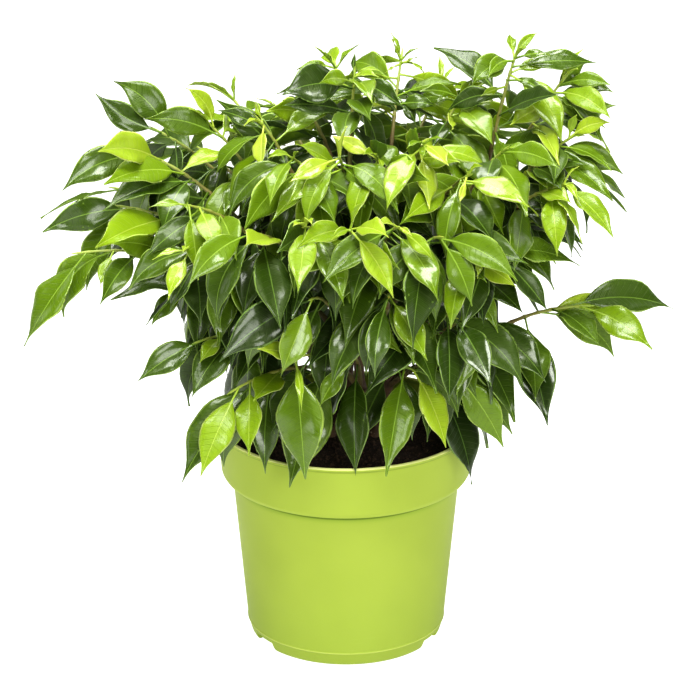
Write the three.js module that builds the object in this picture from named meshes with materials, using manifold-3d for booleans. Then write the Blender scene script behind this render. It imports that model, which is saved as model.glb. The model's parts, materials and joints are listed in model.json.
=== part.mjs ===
// A young weeping fig in a 13 cm nursery pot.
// Millimetres, +Z up, ground at z = 0. The pieces are laid out from the axis of the pot, and the whole
// is then moved so that the origin is under the middle of the crown.
import * as THREE from "three";
import { mergeVertices } from "three/addons/utils/BufferGeometryUtils.js";
import Module from "manifold-3d";

const wasm = await Module();
wasm.setup();

const CROWN_MIDDLE = [2.64, 7.07];
const GAP = 0.3;
const TOLERANCE = 0.01;
const DEGREE = Math.PI / 180;

// Pot
const RIM_RADIUS = 65;
const POT_HEIGHT = 113.5;
const BAND_BOTTOM = 86;
const BODY_TOP_RADIUS = 57;
const BODY_FOOT_RADIUS = 50;
const FOOT_RADIUS = 47;
const FOOT_HEIGHT = 6.5;
const WALL = 1.6;
const FLOOR_UNDERSIDE = 6;
const NOTCH_ANGLES = [-148, -28, 92];
const NOTCH_WIDTH = 18;
const NOTCH_HEIGHT = 4.8;
const DRAIN_RING_RADIUS = 28;
const DRAIN_RADIUS = 4;
const DRAIN_COUNT = 5;
const POT_SEGMENTS = 36;

// Soil
const SOIL_TOP = 103.5;
const SOIL_ROUGHNESS = 1.3;
const SOIL_SEGMENTS = 24;
const HOLE_DEPTH = 34;
const HOLE_CLEARANCE = 0.7;

// Wood: each stem is a path of [x, y, z], which starts straight down in the soil.
const FOOT_Z = SOIL_TOP - HOLE_DEPTH + 1;
const STRAIGHT_Z = SOIL_TOP + 5;
const STEM_RADIUS = 3.1;
const STEM_TIP_RADIUS = 1.7;
const BRANCH_RADIUS = 1.8;
const BRANCH_TIP_RADIUS = 1.35;
const BRANCH_STEPS = [0, 0.5, 1];
const BRANCH_SIDES = 3;
const STEMS = {
  left: [[-8, 3], [-11, 0, 132], [-20, -6, 160], [-32, -10, 186], [-43, -10, 208]],
  centre: [[3, -6], [7, -8, 128], [5, -10, 165], [3, -6, 200], [4, -2, 232]],
  right: [[15, 3], [20, 2, 130], [32, -4, 162], [46, -8, 192], [62, -6, 220]],
  back: [[2, 14], [1, 20, 130], [4, 26, 165], [2, 30, 200], [6, 28, 226]],
};
const CUT_STUB = { stem: "centre", from: [6, -8, 118], to: [15, -13, 127], radius: 3.3 };

// Sprays: [name, stem, twig base, twig tip, number of leaves, youth from 0 (old) to 1 (just out)]
const SPRAYS = [
  ["crest_1", "centre", [-6, 12, 244], [-22, 24, 274], 6, 0.25],
  ["crest_2", "centre", [2, 4, 252], [4, 4, 290], 6, 0.4],
  ["crest_3", "centre", [22, 18, 248], [27, 36, 289], 5, 1.0],
  ["crest_4", "right", [41, 12, 245], [56, 18, 276], 6, 0.5],
  ["crest_5", "right", [69, 0, 247], [81, 2, 300], 7, 0.5],
  ["crest_6", "right", [80, 8, 243], [104, 8, 286], 7, 0.45],
  ["right_1", "right", [77, -10, 234], [107, -15, 265], 7, 0.5],
  ["right_2", "right", [76, -22, 228], [103, -45, 252], 5, 0.65],
  ["right_3", "right", [62, -16, 210], [88, -24, 226], 5, 0.0],
  ["right_4", "right", [54, -30, 204], [72, -65, 224], 5, 0.25],
  ["right_5", "right", [76, -19, 170], [114, -30, 185], 6, 0.2],
  ["top_1", "left", [-24, -6, 240], [-40, -8, 270], 6, 0.45],
  ["top_2", "centre", [-13, -20, 241], [-25, -45, 265], 5, 0.45],
  ["top_3", "centre", [0, -20, 241], [-3, -60, 270], 5, 0.85],
  ["top_4", "centre", [15, -20, 241], [15, -48, 266], 5, 0.5],
  ["top_5", "centre", [28, -20, 241], [37, -50, 274], 5, 0.8],
  ["top_6", "right", [43, -26, 232], [57, -62, 262], 5, 0.75],
  ["top_7", "right", [57, -18, 235], [74, -35, 265], 5, 0.4],
  ["left_1", "left", [-38, 5, 227], [-65, 10, 263], 6, 0.45],
  ["left_2", "left", [-48, 12, 223], [-91, 18, 258], 7, 0.1],
  ["left_3", "left", [-56, -6, 225], [-96, -8, 255], 7, 0.3],
  ["left_4", "left", [-47, -28, 221], [-75, -52, 244], 6, 0.6],
  ["left_5", "left", [-62, -14, 213], [-111, -12, 230], 6, 0.1],
  ["left_6", "left", [-66, -26, 204], [-126, -34, 214], 5, 0.35],
  ["left_7", "left", [-44, -36, 206], [-74, -65, 226], 5, 0.4],
  ["front_1", "left", [-24, -40, 214], [-44, -75, 238], 6, 0.15],
  ["front_2", "centre", [-9, -42, 218], [-19, -86, 245], 6, 0.4],
  ["front_3", "centre", [3, -42, 218], [2, -93, 246], 6, 0.75],
  ["front_4", "centre", [16, -42, 216], [24, -86, 245], 6, 0.4],
  ["front_5", "right", [32, -38, 212], [44, -80, 238], 6, 0.15],
  ["front_6", "right", [42, -34, 200], [62, -73, 224], 5, 0.65],
  ["low_1", "left", [-42, -22, 186], [-76, -34, 196], 6, 0.05],
  ["low_2", "left", [-26, -28, 170], [-68, -52, 176], 5, 0.15],
  ["low_3", "centre", [-6, -40, 186], [-16, -82, 208], 5, 0.05],
  ["low_4", "centre", [20, -40, 188], [20, -84, 210], 5, 0.3],
  ["low_5", "right", [38, -34, 176], [51, -74, 196], 5, 0.1],
  ["low_6", "right", [46, -24, 168], [62, -58, 188], 5, 0.25],
  ["skirt_1", "left", [-16, -32, 154], [-52, -70, 158], 7, 0.35],
  ["skirt_2", "centre", [-6, -34, 158], [-24, -78, 176], 3, 0.3],
  ["skirt_3", "centre", [6, -34, 156], [3, -76, 174], 3, 0.2],
  ["skirt_4", "centre", [20, -30, 150], [32, -70, 168], 4, 0.35],
  ["skirt_5", "right", [36, -20, 150], [50, -60, 164], 5, 0.2],
  ["back_1", "left", [-42, 40, 212], [-80, 82, 232], 5, 0.2],
  ["back_2", "back", [-15, 50, 225], [-35, 96, 246], 5, 0.4],
  ["back_3", "back", [15, 52, 226], [22, 102, 248], 5, 0.2],
  ["back_4", "back", [42, 46, 216], [70, 90, 236], 5, 0.5],
  ["back_5", "right", [68, 24, 214], [112, 50, 234], 5, 0.3],
  ["back_6", "left", [-62, 22, 205], [-114, 44, 220], 5, 0.25],
  ["back_7", "back", [-32, 40, 176], [-66, 80, 184], 5, 0.1],
  ["back_8", "back", [5, 48, 184], [0, 96, 200], 5, 0.3],
  ["back_9", "back", [42, 38, 180], [76, 76, 190], 5, 0.2],
  ["back_10", "back", [0, 36, 245], [-5, 66, 276], 5, 0.7],
  ["back_11", "back", [32, 40, 238], [48, 70, 266], 5, 0.5],
  ["back_12", "left", [-36, 30, 236], [-56, 58, 262], 5, 0.6],
];
// Leaves seen at the front: where the tip of the leaf is, how much the blade curls in degrees, and its
// breadth as a share of a plain leaf's.
const AIMED = {
  crest_1: {
    3: [[-38, 5, 267], 30, 1],
    5: [[-31, 18, 272], 40, 1.1],
  },
  crest_2: {
    2: [[-31, -8, 280], 15, 1.2],
    4: [[-11, 5, 289], 15, 1],
    5: [[26, -5, 275], 10, 1],
  },
  crest_3: {
    1: [[5, -10, 275], 30, 1.05],
    4: [[39, 20, 284], 45, 1],
  },
  crest_4: {
    1: [[39, -30, 252], 20, 1.1],
    3: [[50, -5, 267], 20, 1],
    4: [[64, 15, 286], 10, 1],
    5: [[35, 10, 279], 35, 1],
  },
  crest_5: {
    1: [[80, -35, 246], 15, 1],
    4: [[65, -5, 282], 20, 1],
    5: [[99, 5, 295], 30, 1],
    6: [[66, -15, 293], 50, 1.05],
  },
  crest_6: {
    3: [[123, -5, 260], 30, 1],
    4: [[80, -20, 271], 15, 1.1],
    5: [[120, 20, 290], 40, 1],
    6: [[128, 0, 283], 45, 1],
  },
  right_1: {
    1: [[96, -45, 247], 30, 1],
    2: [[106, -55, 246], 25, 1],
    3: [[115, -30, 252], 30, 1],
    4: [[125, -35, 237], 30, 1],
    5: [[127, -25, 247], 40, 1],
    6: [[128, -25, 274], 40, 1],
  },
  right_2: {
    0: [[113, -40, 218], 30, 1.05],
    2: [[105, -64, 245], 30, 1.05],
  },
  right_3: {
    0: [[76, -50, 195], 25, 1],
    1: [[89, -32, 198], 25, 1],
    2: [[98, -45, 196], 35, 1],
    3: [[97, -36, 207], 25, 1],
    4: [[93, -40, 214], 20, 1],
  },
  right_4: {
    0: [[83, -66, 191], 25, 1],
    4: [[93, -70, 195], 20, 1],
  },
  right_5: {
    1: [[93, -60, 146], 20, 1.1],
    2: [[138, -15, 169], 30, 0.95],
    3: [[120, -60, 172], 35, 1.05],
    4: [[160, -15, 172], 40, 1],
    5: [[147, -50, 168], 30, 1],
  },
  top_1: {
    0: [[-38, -55, 239], 25, 1.1],
    2: [[-29, -20, 251], 25, 1.05],
    4: [[-63, -5, 272], 35, 1],
    5: [[-41, -30, 252], 30, 1.1],
  },
  top_2: {
    0: [[-27, -50, 246], 20, 1],
  },
  top_3: {
    2: [[8, -65, 253], 30, 1],
    4: [[-26, -70, 260], 20, 1.15],
  },
  top_4: {
    3: [[20, -50, 256], 15, 1],
    4: [[-7, -45, 274], 15, 1],
  },
  top_5: {
    0: [[22, -50, 240], 25, 1.1],
    3: [[40, -70, 247], 15, 1.05],
  },
  top_6: {
    1: [[70, -80, 230], 30, 1.15],
    4: [[53, -70, 251], 10, 1.1],
  },
  top_7: {
    1: [[72, -60, 230], 20, 1],
    2: [[79, -45, 251], 20, 1],
  },
  left_1: {
    1: [[-59, -20, 225], 35, 1.05],
    3: [[-78, -15, 244], 35, 1],
    4: [[-99, 0, 269], 30, 1.05],
    5: [[-80, 5, 283], 45, 1],
  },
  left_2: {
    5: [[-81, -5, 238], 30, 1.05],
    6: [[-122, 15, 279], -20, 1],
  },
  left_3: {
    2: [[-116, -40, 232], 40, 1],
    3: [[-115, -45, 247], 35, 1],
    5: [[-117, -45, 261], 25, 1.05],
    6: [[-136, -25, 238], 45, 1],
  },
  left_4: {
    0: [[-71, -60, 218], 30, 1.05],
    3: [[-92, -60, 217], 30, 1],
    5: [[-71, -70, 216], 15, 1],
  },
  left_5: {
    2: [[-116, -60, 220], 25, 1.1],
    3: [[-105, -30, 206], 30, 1],
    4: [[-146, -25, 218], 30, 1.05],
  },
  left_6: {
    0: [[-67, -66, 186], 30, 1],
    1: [[-112, -60, 225], 30, 1],
    2: [[-117, -62, 196], 25, 1],
    3: [[-117, -50, 201], 20, 0.95],
    4: [[-153, -44, 168], 15, 1.1],
  },
  left_7: {
    0: [[-57, -66, 182], 25, 1],
    2: [[-59, -70, 192], 20, 1.05],
    3: [[-81, -75, 196], 25, 1],
    4: [[-84, -85, 208], 20, 1],
  },
  front_1: {
    2: [[-44, -100, 238], 15, 1.05],
    3: [[-49, -78, 197], 20, 1.15],
  },
  front_2: {
    0: [[3, -80, 204], 25, 1],
    1: [[-20, -85, 193], 30, 1.1],
    4: [[-16, -95, 231], 20, 1.05],
  },
  front_3: {
    2: [[25, -90, 224], 20, 1],
    5: [[19, -105, 215], 35, 1.1],
  },
  front_4: {
    5: [[40, -95, 231], 20, 1],
  },
  front_5: {
    1: [[39, -75, 196], 20, 1],
    5: [[59, -90, 207], 20, 1.05],
  },
  front_6: {
    3: [[80, -85, 214], 20, 1.1],
  },
  low_1: {
    1: [[-81, -35, 188], 25, 1],
    5: [[-92, -40, 177], 35, 1],
  },
  low_2: {
    1: [[-50, -60, 154], 25, 1.05],
    2: [[-74, -70, 151], 30, 1.05],
    3: [[-70, -65, 168], 20, 1.1],
    4: [[-98, -65, 157], 25, 1.05],
  },
  low_3: {
    0: [[-11, -62, 147], 30, 1],
    1: [[25, -72, 173], 25, 1.05],
    2: [[-22, -85, 178], 20, 1.05],
    4: [[-28, -95, 173], 15, 1.1],
  },
  low_4: {
    3: [[35, -95, 180], 25, 1.05],
  },
  low_5: {
    0: [[59, -75, 149], 25, 1],
  },
  low_6: {
    4: [[55, -75, 156], 25, 1.1],
  },
  skirt_1: {
    1: [[-29, -58, 119], 20, 1.05],
    2: [[-42, -86, 156], 15, 1.1],
    3: [[-41, -70, 114], 15, 0.95],
    4: [[-77, -84, 113], 25, 1],
    5: [[-46, -90, 131], 15, 1.05],
    6: [[-67, -95, 122], 20, 1.05],
  },
  skirt_2: {
    0: [[-27, -72, 106], 15, 1.15],
    1: [[-36, -62, 127], 20, 1],
    2: [[-21, -92, 121], 20, 1.2],
  },
  skirt_3: {
    0: [[1, -60, 113], 20, 1],
    1: [[-8, -42, 122], 20, 1.05],
    2: [[-11, -80, 152], 25, 1.05],
  },
  skirt_4: {
    0: [[13, -50, 111], 20, 1],
    1: [[31, -55, 125], 25, 1.05],
    2: [[21, -85, 118], 25, 1.05],
    3: [[48, -80, 132], 15, 1.1],
  },
  skirt_5: {
    1: [[41, -50, 122], 15, 0.95],
    3: [[77, -50, 123], 30, 1],
    4: [[74, -62, 123], 20, 1.1],
  },
};
const TWIG_RADIUS = 1.4;
const TWIG_TIP_RADIUS = 0.95;
const BUD_LENGTH = 7;
const TWIG_ARCH = 0.12;
const TWIG_STEPS = [0, 0.5, 1];
const TWIG_SIDES = 3;

// Leaves
const OLD_LENGTH = 53;
const YOUNG_LENGTH = 32;
const AIMED_LONGEST = 56;
const SIDE_SPREAD = 66;
const CLIMBING_SPREAD = 95;
const END_SPREAD = 24;
const HEADING_RANGE = 66;
const HANG_HIGH = 20;
const HANG_LOW = 50;
const HANG_SPREAD = 44;
const YOUNG_LIFT = 22;
const OLD_BEND = 48;
const YOUNG_BEND = 26;
const ROLL_RANGE = 56;
const TWIST_MOST = 30;
const SWEEP_MOST = 3.5;
const OLD_SLENDERNESS = 0.425;
const YOUNG_SLENDERNESS = 0.36;
const LEAF_THICKNESS = 1.2;
const PETIOLE_LEAST = 2.5;
const PETIOLE_SHARE = 0.15;
const PETIOLE_RADIUS = 0.62;
const ROOT_DEPTH = 0.4;
const ROOT_SINK = 0.45;
const NECK_REACH = 2.6;
const STATIONS = [0.22, 0.5, 0.79];
const SMALL_STATIONS = [0.36, 0.74];
const SMALL_LENGTH = 48;
const OUTLINE = [
  [0, 0.07],
  [0.1, 0.5],
  [0.2, 0.78],
  [0.32, 0.96],
  [0.44, 1],
  [0.56, 0.9],
  [0.68, 0.64],
  [0.78, 0.36],
  [0.87, 0.17],
  [0.94, 0.08],
  [1, 0],
];
const CROWN_AXIS = [0, 0];
const OUTWARD = 0.3;
const LIGHT_SIDE = [0, -0.5, 0];
const LIGHT_HEIGHT = 1.1;
const LIGHT_PULL = 0.7;
const AIMED_PULL = 0.95;
const ROLL_MOST = 80 * DEGREE;
const SHADE_FROM_Y = 10;
const SHADE_RANGE = 40;
const HANG_TOP_Z = 250;
const HANG_RANGE = 95;
const ATTEMPTS = 16;
const LEAF_CLEARANCE = 0.35;
const RIM_CLEARANCE = 3;

const COLOURS = {
  pot_plastic: "#c0dc50",
  soil: "#241a14",
  bark: "#7a6048",
  leaf_old: "#3c6a2e",
  leaf_mid: "#5b9030",
  leaf_young: "#a4c83c",
};

// Seeded draws between 0 and 1.
function draws(seed) {
  let state = seed;
  const next = () => {
    state = (state * 48271) % 2147483647;
    return state / 2147483647;
  };
  next();
  next();
  return next;
}

const add = (a, b) => [a[0] + b[0], a[1] + b[1], a[2] + b[2]];
const sub = (a, b) => [a[0] - b[0], a[1] - b[1], a[2] - b[2]];
const scale = (a, s) => [a[0] * s, a[1] * s, a[2] * s];
const dot = (a, b) => a[0] * b[0] + a[1] * b[1] + a[2] * b[2];
const cross = (a, b) => [
  a[1] * b[2] - a[2] * b[1],
  a[2] * b[0] - a[0] * b[2],
  a[0] * b[1] - a[1] * b[0],
];
const length = (a) => Math.sqrt(dot(a, a));
const unit = (a) => scale(a, 1 / length(a));
const mix = (a, b, t) => a + (b - a) * t;

// A closed solid of points and triangles.
function solidFrom({ points, faces }) {
  const geometry = new THREE.BufferGeometry();
  geometry.setAttribute("position", new THREE.Float32BufferAttribute(points.flat(), 3));
  geometry.setIndex(faces.flat());
  return manifoldOf(geometry);
}

function manifoldOf(geometry) {
  const bare = new THREE.BufferGeometry();
  bare.setAttribute("position", geometry.getAttribute("position"));
  bare.setIndex(geometry.getIndex());
  const merged = mergeVertices(bare, 1e-3);
  return new wasm.Manifold(
    new wasm.Mesh({
      numProp: 3,
      vertProperties: new Float32Array(merged.getAttribute("position").array),
      triVerts: new Uint32Array(merged.getIndex().array),
      tolerance: TOLERANCE,
    }),
  );
}

function meshOf(name, solid, slot) {
  const { vertProperties, triVerts } = solid.getMesh();
  const geometry = new THREE.BufferGeometry();
  geometry.setAttribute("position", new THREE.BufferAttribute(vertProperties, 3));
  geometry.setIndex(new THREE.BufferAttribute(triVerts, 1));
  geometry.computeVertexNormals();
  const material = new THREE.MeshStandardMaterial({ color: COLOURS[slot], roughness: 0.5 });
  material.name = slot;
  const mesh = new THREE.Mesh(geometry, material);
  mesh.name = name;
  return mesh;
}

// Rings of the same number of points, joined into a closed skin. A ring of one point is a tip.
function skin(rings) {
  const points = rings.flat();
  const faces = [];
  let start = 0;
  for (let i = 0; i + 1 < rings.length; i++) {
    const here = start;
    const next = start + rings[i].length;
    const count = Math.max(rings[i].length, rings[i + 1].length);
    for (let k = 0; k < count; k++) {
      const l = (k + 1) % count;
      if (rings[i + 1].length === 1) faces.push([here + k, here + l, next]);
      else {
        faces.push([here + k, here + l, next + l]);
        faces.push([here + k, next + l, next + k]);
      }
    }
    start = next;
  }
  const first = rings[0].length;
  for (let k = 1; k + 1 < first; k++) faces.push([0, k + 1, k]);
  const last = rings[rings.length - 1].length;
  for (let k = 1; k + 1 < last; k++) faces.push([start, start + k, start + k + 1]);
  return { points, faces };
}

// A tapered tube with few sides along a path. With a bud it ends in a point.
function tube(path, radii, sides, { bud = 0, first = null, last = null } = {}) {
  const rings = [];
  let across = null;
  path.forEach((point, i) => {
    const before = path[Math.max(i - 1, 0)];
    const after = path[Math.min(i + 1, path.length - 1)];
    const ends = { 0: first, [path.length - 1]: last };
    const along = ends[i] ?? unit(sub(after, before));
    const start = across ?? (Math.abs(along[2]) > 0.9 ? [1, 0.2, 0] : [0, 0, 1]);
    across = unit(sub(start, scale(along, dot(start, along))));
    const other = cross(along, across);
    rings.push(
      Array.from({ length: sides }, (_, k) => {
        const angle = (2 * Math.PI * (k + 0.5)) / sides;
        const offset = add(scale(across, Math.cos(angle)), scale(other, Math.sin(angle)));
        return add(point, scale(offset, radii[i]));
      }),
    );
    if (bud && i === path.length - 1) rings.push([add(point, scale(along, bud))]);
  });
  return skin(rings);
}

function bezier(a, b, c, t) {
  const u = 1 - t;
  return add(add(scale(a, u * u), scale(b, 2 * u * t)), scale(c, t * t));
}

function bezierTangent(a, b, c, t) {
  return unit(add(scale(sub(b, a), 1 - t), scale(sub(c, b), t)));
}

// Pot: one turned wall, with notches in the foot ring and drain holes in the floor.
function pot() {
  const lipInner = RIM_RADIUS - 1.9;
  const bandInner = RIM_RADIUS - 4;
  const floorTop = FLOOR_UNDERSIDE + WALL;
  const profile = [
    [0, FLOOR_UNDERSIDE],
    [FOOT_RADIUS - 2.2, FLOOR_UNDERSIDE - 0.4],
    [FOOT_RADIUS - 2, 0],
    [FOOT_RADIUS, 0],
    [BODY_FOOT_RADIUS, FOOT_HEIGHT],
    [BODY_TOP_RADIUS, BAND_BOTTOM - 1.6],
    [RIM_RADIUS - 4, BAND_BOTTOM + 0.3],
    [RIM_RADIUS - 2.5, BAND_BOTTOM + 2.6],
    [RIM_RADIUS, POT_HEIGHT - 3],
    [RIM_RADIUS - 0.4, POT_HEIGHT],
    [lipInner, POT_HEIGHT],
    [bandInner, BAND_BOTTOM + 4.4],
    [BODY_TOP_RADIUS - WALL, BAND_BOTTOM + 0.6],
    [BODY_FOOT_RADIUS - WALL, floorTop],
    [0, floorTop],
  ];
  const wall = new THREE.LatheGeometry(
    profile.map(([r, z]) => new THREE.Vector2(r, z)),
    POT_SEGMENTS,
  );
  wall.rotateX(Math.PI / 2);
  let solid = manifoldOf(wall);
  for (const angle of NOTCH_ANGLES) {
    const outline = new THREE.Shape([
      new THREE.Vector2(-NOTCH_WIDTH / 2, -1),
      new THREE.Vector2(NOTCH_WIDTH / 2, -1),
      new THREE.Vector2(NOTCH_WIDTH / 2 - 1.5, NOTCH_HEIGHT),
      new THREE.Vector2(-NOTCH_WIDTH / 2 + 1.5, NOTCH_HEIGHT),
    ]);
    const cutter = new THREE.ExtrudeGeometry(outline, { depth: 14, bevelEnabled: false });
    cutter.rotateX(Math.PI / 2);
    cutter.translate(0, FOOT_RADIUS + 5, 0);
    cutter.rotateZ(angle * DEGREE - Math.PI / 2);
    solid = solid.subtract(manifoldOf(cutter));
  }
  for (let i = 0; i <= DRAIN_COUNT; i++) {
    const drain = new THREE.CylinderGeometry(DRAIN_RADIUS, DRAIN_RADIUS, 8, 8);
    drain.rotateX(Math.PI / 2);
    const ring = i ? DRAIN_RING_RADIUS : 0;
    const angle = (2 * Math.PI * (i + 0.25)) / DRAIN_COUNT;
    drain.translate(ring * Math.cos(angle), ring * Math.sin(angle), floorTop);
    solid = solid.subtract(manifoldOf(drain));
  }
  return solid;
}

// Soil: fills the pot to a little below the lip, with a lumpy top and a plain hole for each stem.
function soil() {
  const draw = draws(911);
  const rings = [
    [BODY_FOOT_RADIUS - WALL - 0.7, FLOOR_UNDERSIDE + WALL + 0.5],
    [BODY_TOP_RADIUS - WALL - 0.6, BAND_BOTTOM + 1],
    [RIM_RADIUS - 4.8, BAND_BOTTOM + 5.6],
    [RIM_RADIUS - 3.5, SOIL_TOP - 2.4],
    [58, SOIL_TOP - 0.4],
    [47, SOIL_TOP],
    [36, SOIL_TOP + 0.4],
    [24, SOIL_TOP + 0.8],
    [10, SOIL_TOP + 1],
  ].map(([radius, z], row) =>
    Array.from({ length: SOIL_SEGMENTS }, (_, k) => {
      const rough = row > 3 ? SOIL_ROUGHNESS * (2 * draw() - 1) : 0;
      const turn = row > 4 ? 0.5 * (draw() - 0.5) : 0;
      const angle = (2 * Math.PI * (k + turn)) / SOIL_SEGMENTS;
      return [radius * Math.cos(angle), radius * Math.sin(angle), z + rough];
    }),
  );
  rings.push([[0, 0, SOIL_TOP + 1]]);
  let solid = solidFrom(skin(rings));
  for (const path of Object.values(STEMS)) {
    const radius = STEM_RADIUS + HOLE_CLEARANCE;
    const hole = new THREE.CylinderGeometry(radius, radius, HOLE_DEPTH + 10, 8);
    hole.rotateX(Math.PI / 2);
    hole.translate(path[0][0], path[0][1], SOIL_TOP - HOLE_DEPTH + (HOLE_DEPTH + 10) / 2);
    solid = solid.subtract(manifoldOf(hole));
  }
  return solid;
}

// Twig of a spray: an arched path from its base to its tip.
function twigOf([name, stem, base, tip, leaves, youth], number) {
  const reach = length(sub(tip, base));
  const middle = add(scale(add(base, tip), 0.5), [0, 0, TWIG_ARCH * reach]);
  const toward = unit(sub(middle, base));
  const start = add(base, scale(toward, GAP));
  const shade = Math.min(1, Math.max(0, (tip[1] - SHADE_FROM_Y) / SHADE_RANGE));
  return { name, number, stem, base, start, middle, tip, toward, leaves, youth, shade };
}

function twigSolid({ start, middle, tip, toward }) {
  return tube(
    TWIG_STEPS.map((t) => bezier(start, middle, tip, t)),
    TWIG_STEPS.map((t) => mix(TWIG_RADIUS, TWIG_TIP_RADIUS, t)),
    TWIG_SIDES,
    { bud: BUD_LENGTH, first: toward },
  );
}

// Stem path: straight up out of the soil, then through its points.
function stemPath(name) {
  const [foot, ...rest] = STEMS[name];
  return [[...foot, FOOT_Z], [...foot, STRAIGHT_Z], ...rest];
}

function pointAtHeight(path, height) {
  const end = path[path.length - 1];
  const z = Math.min(height, end[2] - 3);
  let i = 2;
  while (path[i + 1][2] < z) i++;
  const t = Math.max(0, (z - path[i][2]) / (path[i + 1][2] - path[i][2]));
  return add(path[i], scale(sub(path[i + 1], path[i]), t));
}

// Branch of a spray: leaves the stem below the spray and ends in line with its twig.
function branchPath(path, { base, toward }) {
  const beside = pointAtHeight(path, base[2]);
  const flat = Math.hypot(base[0] - beside[0], base[1] - beside[1]);
  const root = pointAtHeight(path, base[2] - 0.7 * flat - 6);
  const bend = sub(base, scale(toward, 0.4 * length(sub(base, root))));
  return BRANCH_STEPS.map((t) => bezier(root, bend, base, t));
}

function stemSolid(name, twigs) {
  const path = stemPath(name);
  const spans = path.length - 2;
  const radii = path.map((_, i) => mix(STEM_RADIUS, STEM_TIP_RADIUS, Math.max(0, i - 1) / spans));
  let solid = solidFrom(tube(path, radii, 6));
  for (const twig of twigs) {
    const branch = branchPath(path, twig);
    const taper = BRANCH_STEPS.map((t) => mix(BRANCH_RADIUS, BRANCH_TIP_RADIUS, t));
    solid = solid.add(solidFrom(tube(branch, taper, BRANCH_SIDES, { last: twig.toward })));
  }
  if (CUT_STUB.stem === name) {
    const { from, to, radius } = CUT_STUB;
    solid = solid.add(solidFrom(tube([from, to], [radius * 0.8, radius], 7)));
  }
  return solid;
}

// Half width of a blade at a share of its length, as a share of its greatest half width.
function outlineAt(t) {
  for (let i = 0; i + 1 < OUTLINE.length; i++) {
    const [a, wide] = OUTLINE[i];
    const [b, next] = OUTLINE[i + 1];
    if (t <= b) return mix(wide, next, (t - a) / (b - a));
  }
  return 0;
}

// Where a leaf grows and how it hangs. A later attempt turns it further from its first place.
function leafOf(twig, index, attempt) {
  const draw = draws(1 + twig.number * 7919 + index * 271 + attempt * 33);
  const last = index === twig.leaves - 1;
  const share = index / (twig.leaves - 1);
  const at = mix(0.12, 0.97, share);
  const root = bezier(twig.start, twig.middle, twig.tip, at);
  const along = bezierTangent(twig.start, twig.middle, twig.tip, at);
  const climb = Math.asin(along[2]);
  const side = (index + twig.number) % 2 ? 1 : -1;
  const loosen = 1 + attempt * 0.16;
  const spread = last ? END_SPREAD : climb > 0.85 ? CLIMBING_SPREAD : SIDE_SPREAD;
  const turn = side * spread + (draw() - 0.5) * HEADING_RANGE * loosen;
  const heading = Math.atan2(along[1], along[0]) + turn * DEGREE;
  const away = Math.hypot(root[0] - CROWN_AXIS[0], root[1] - CROWN_AXIS[1]) || 1;
  const outward = [(root[0] - CROWN_AXIS[0]) / away, (root[1] - CROWN_AXIS[1]) / away, 0];
  const lit = add(scale(outward, OUTWARD), scale(LIGHT_SIDE, 1 - twig.shade));
  const light = unit(add(add(outward, scale(LIGHT_SIDE, 4 * (1 - twig.shade))), [0, 0, LIGHT_HEIGHT]));
  const level = unit(add([Math.cos(heading), Math.sin(heading), 0], lit));
  const low = Math.min(1, Math.max(0, (HANG_TOP_Z - root[2]) / HANG_RANGE));
  const hang = mix(HANG_HIGH, HANG_LOW, low) - YOUNG_LIFT * twig.youth;
  const rise = 0.35 * climb - hang * DEGREE + (draw() - 0.5) * HANG_SPREAD * DEGREE * loosen;
  const size = mix(OLD_LENGTH, YOUNG_LENGTH, twig.youth) * (last ? 0.74 : mix(1.04, 0.8, share));
  const blade = size * mix(0.88, 1.1, draw()) * (1 - 0.018 * attempt);
  const slenderness = mix(OLD_SLENDERNESS, YOUNG_SLENDERNESS, twig.youth) * mix(0.92, 1.08, draw());
  const bend = mix(OLD_BEND, YOUNG_BEND, twig.youth) * mix(0.5, 1.4, draw()) * DEGREE;
  const curl = Math.max(0.05, Math.min(bend, rise + 88 * DEGREE));
  const leaf = {
    root,
    level,
    rise,
    curl,
    blade,
    petiole: PETIOLE_LEAST + PETIOLE_SHARE * blade,
    half: (blade * slenderness) / 2,
    lean: (draw() - 0.5) * ROLL_RANGE * DEGREE * loosen,
    fold: mix(5, 20, draw()) * DEGREE,
    wave: mix(0.3, 1.1, draw()) * (blade / 50),
    phase: draw() * 2 * Math.PI,
    twist: (2 * draw() - 1) * TWIST_MOST * DEGREE,
    sweep: (2 * draw() - 1) * SWEEP_MOST * (blade / OLD_LENGTH),
  };
  const aimed = AIMED[twig.name]?.[index];
  const set = aimed ? aim(leaf, aimed, attempt, draw) : leaf;
  const pull = aimed ? AIMED_PULL : LIGHT_PULL;
  return { ...set, roll: rollTo(light, set.level, set.rise - 0.4 * set.curl, pull) + set.lean };
}

// Roll that turns the face of a leaf part of the way to the light.
function rollTo(light, level, rise, pull) {
  const [x, y] = level;
  const up = [-x * Math.sin(rise), -y * Math.sin(rise), Math.cos(rise)];
  const over = [y, -x, 0];
  const roll = pull * Math.atan2(dot(light, over), dot(light, up));
  return Math.max(-ROLL_MOST, Math.min(ROLL_MOST, roll));
}

// Turns a leaf so that its tip comes to a place. A later attempt lets it go a little past it.
function aim(leaf, [tip, bend, breadth], attempt, draw) {
  const loose = 1.6 * attempt;
  const target = tip.map((c) => c + loose * (draw() - 0.5));
  const way = sub(target, leaf.root);
  const flat = Math.hypot(way[0], way[1]);
  const curl = bend * DEGREE;
  const reach = length(way) * (1 + (curl * curl) / 30);
  const blade = Math.min(AIMED_LONGEST, (reach - PETIOLE_LEAST) / (1 + PETIOLE_SHARE));
  return {
    ...leaf,
    level: [way[0] / flat, way[1] / flat, 0],
    rise: Math.atan2(way[2], flat) + 0.56 * curl,
    curl,
    blade,
    petiole: reach - blade,
    half: (leaf.half * breadth * blade) / leaf.blade,
    lean: 0.6 * leaf.lean,
  };
}

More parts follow.
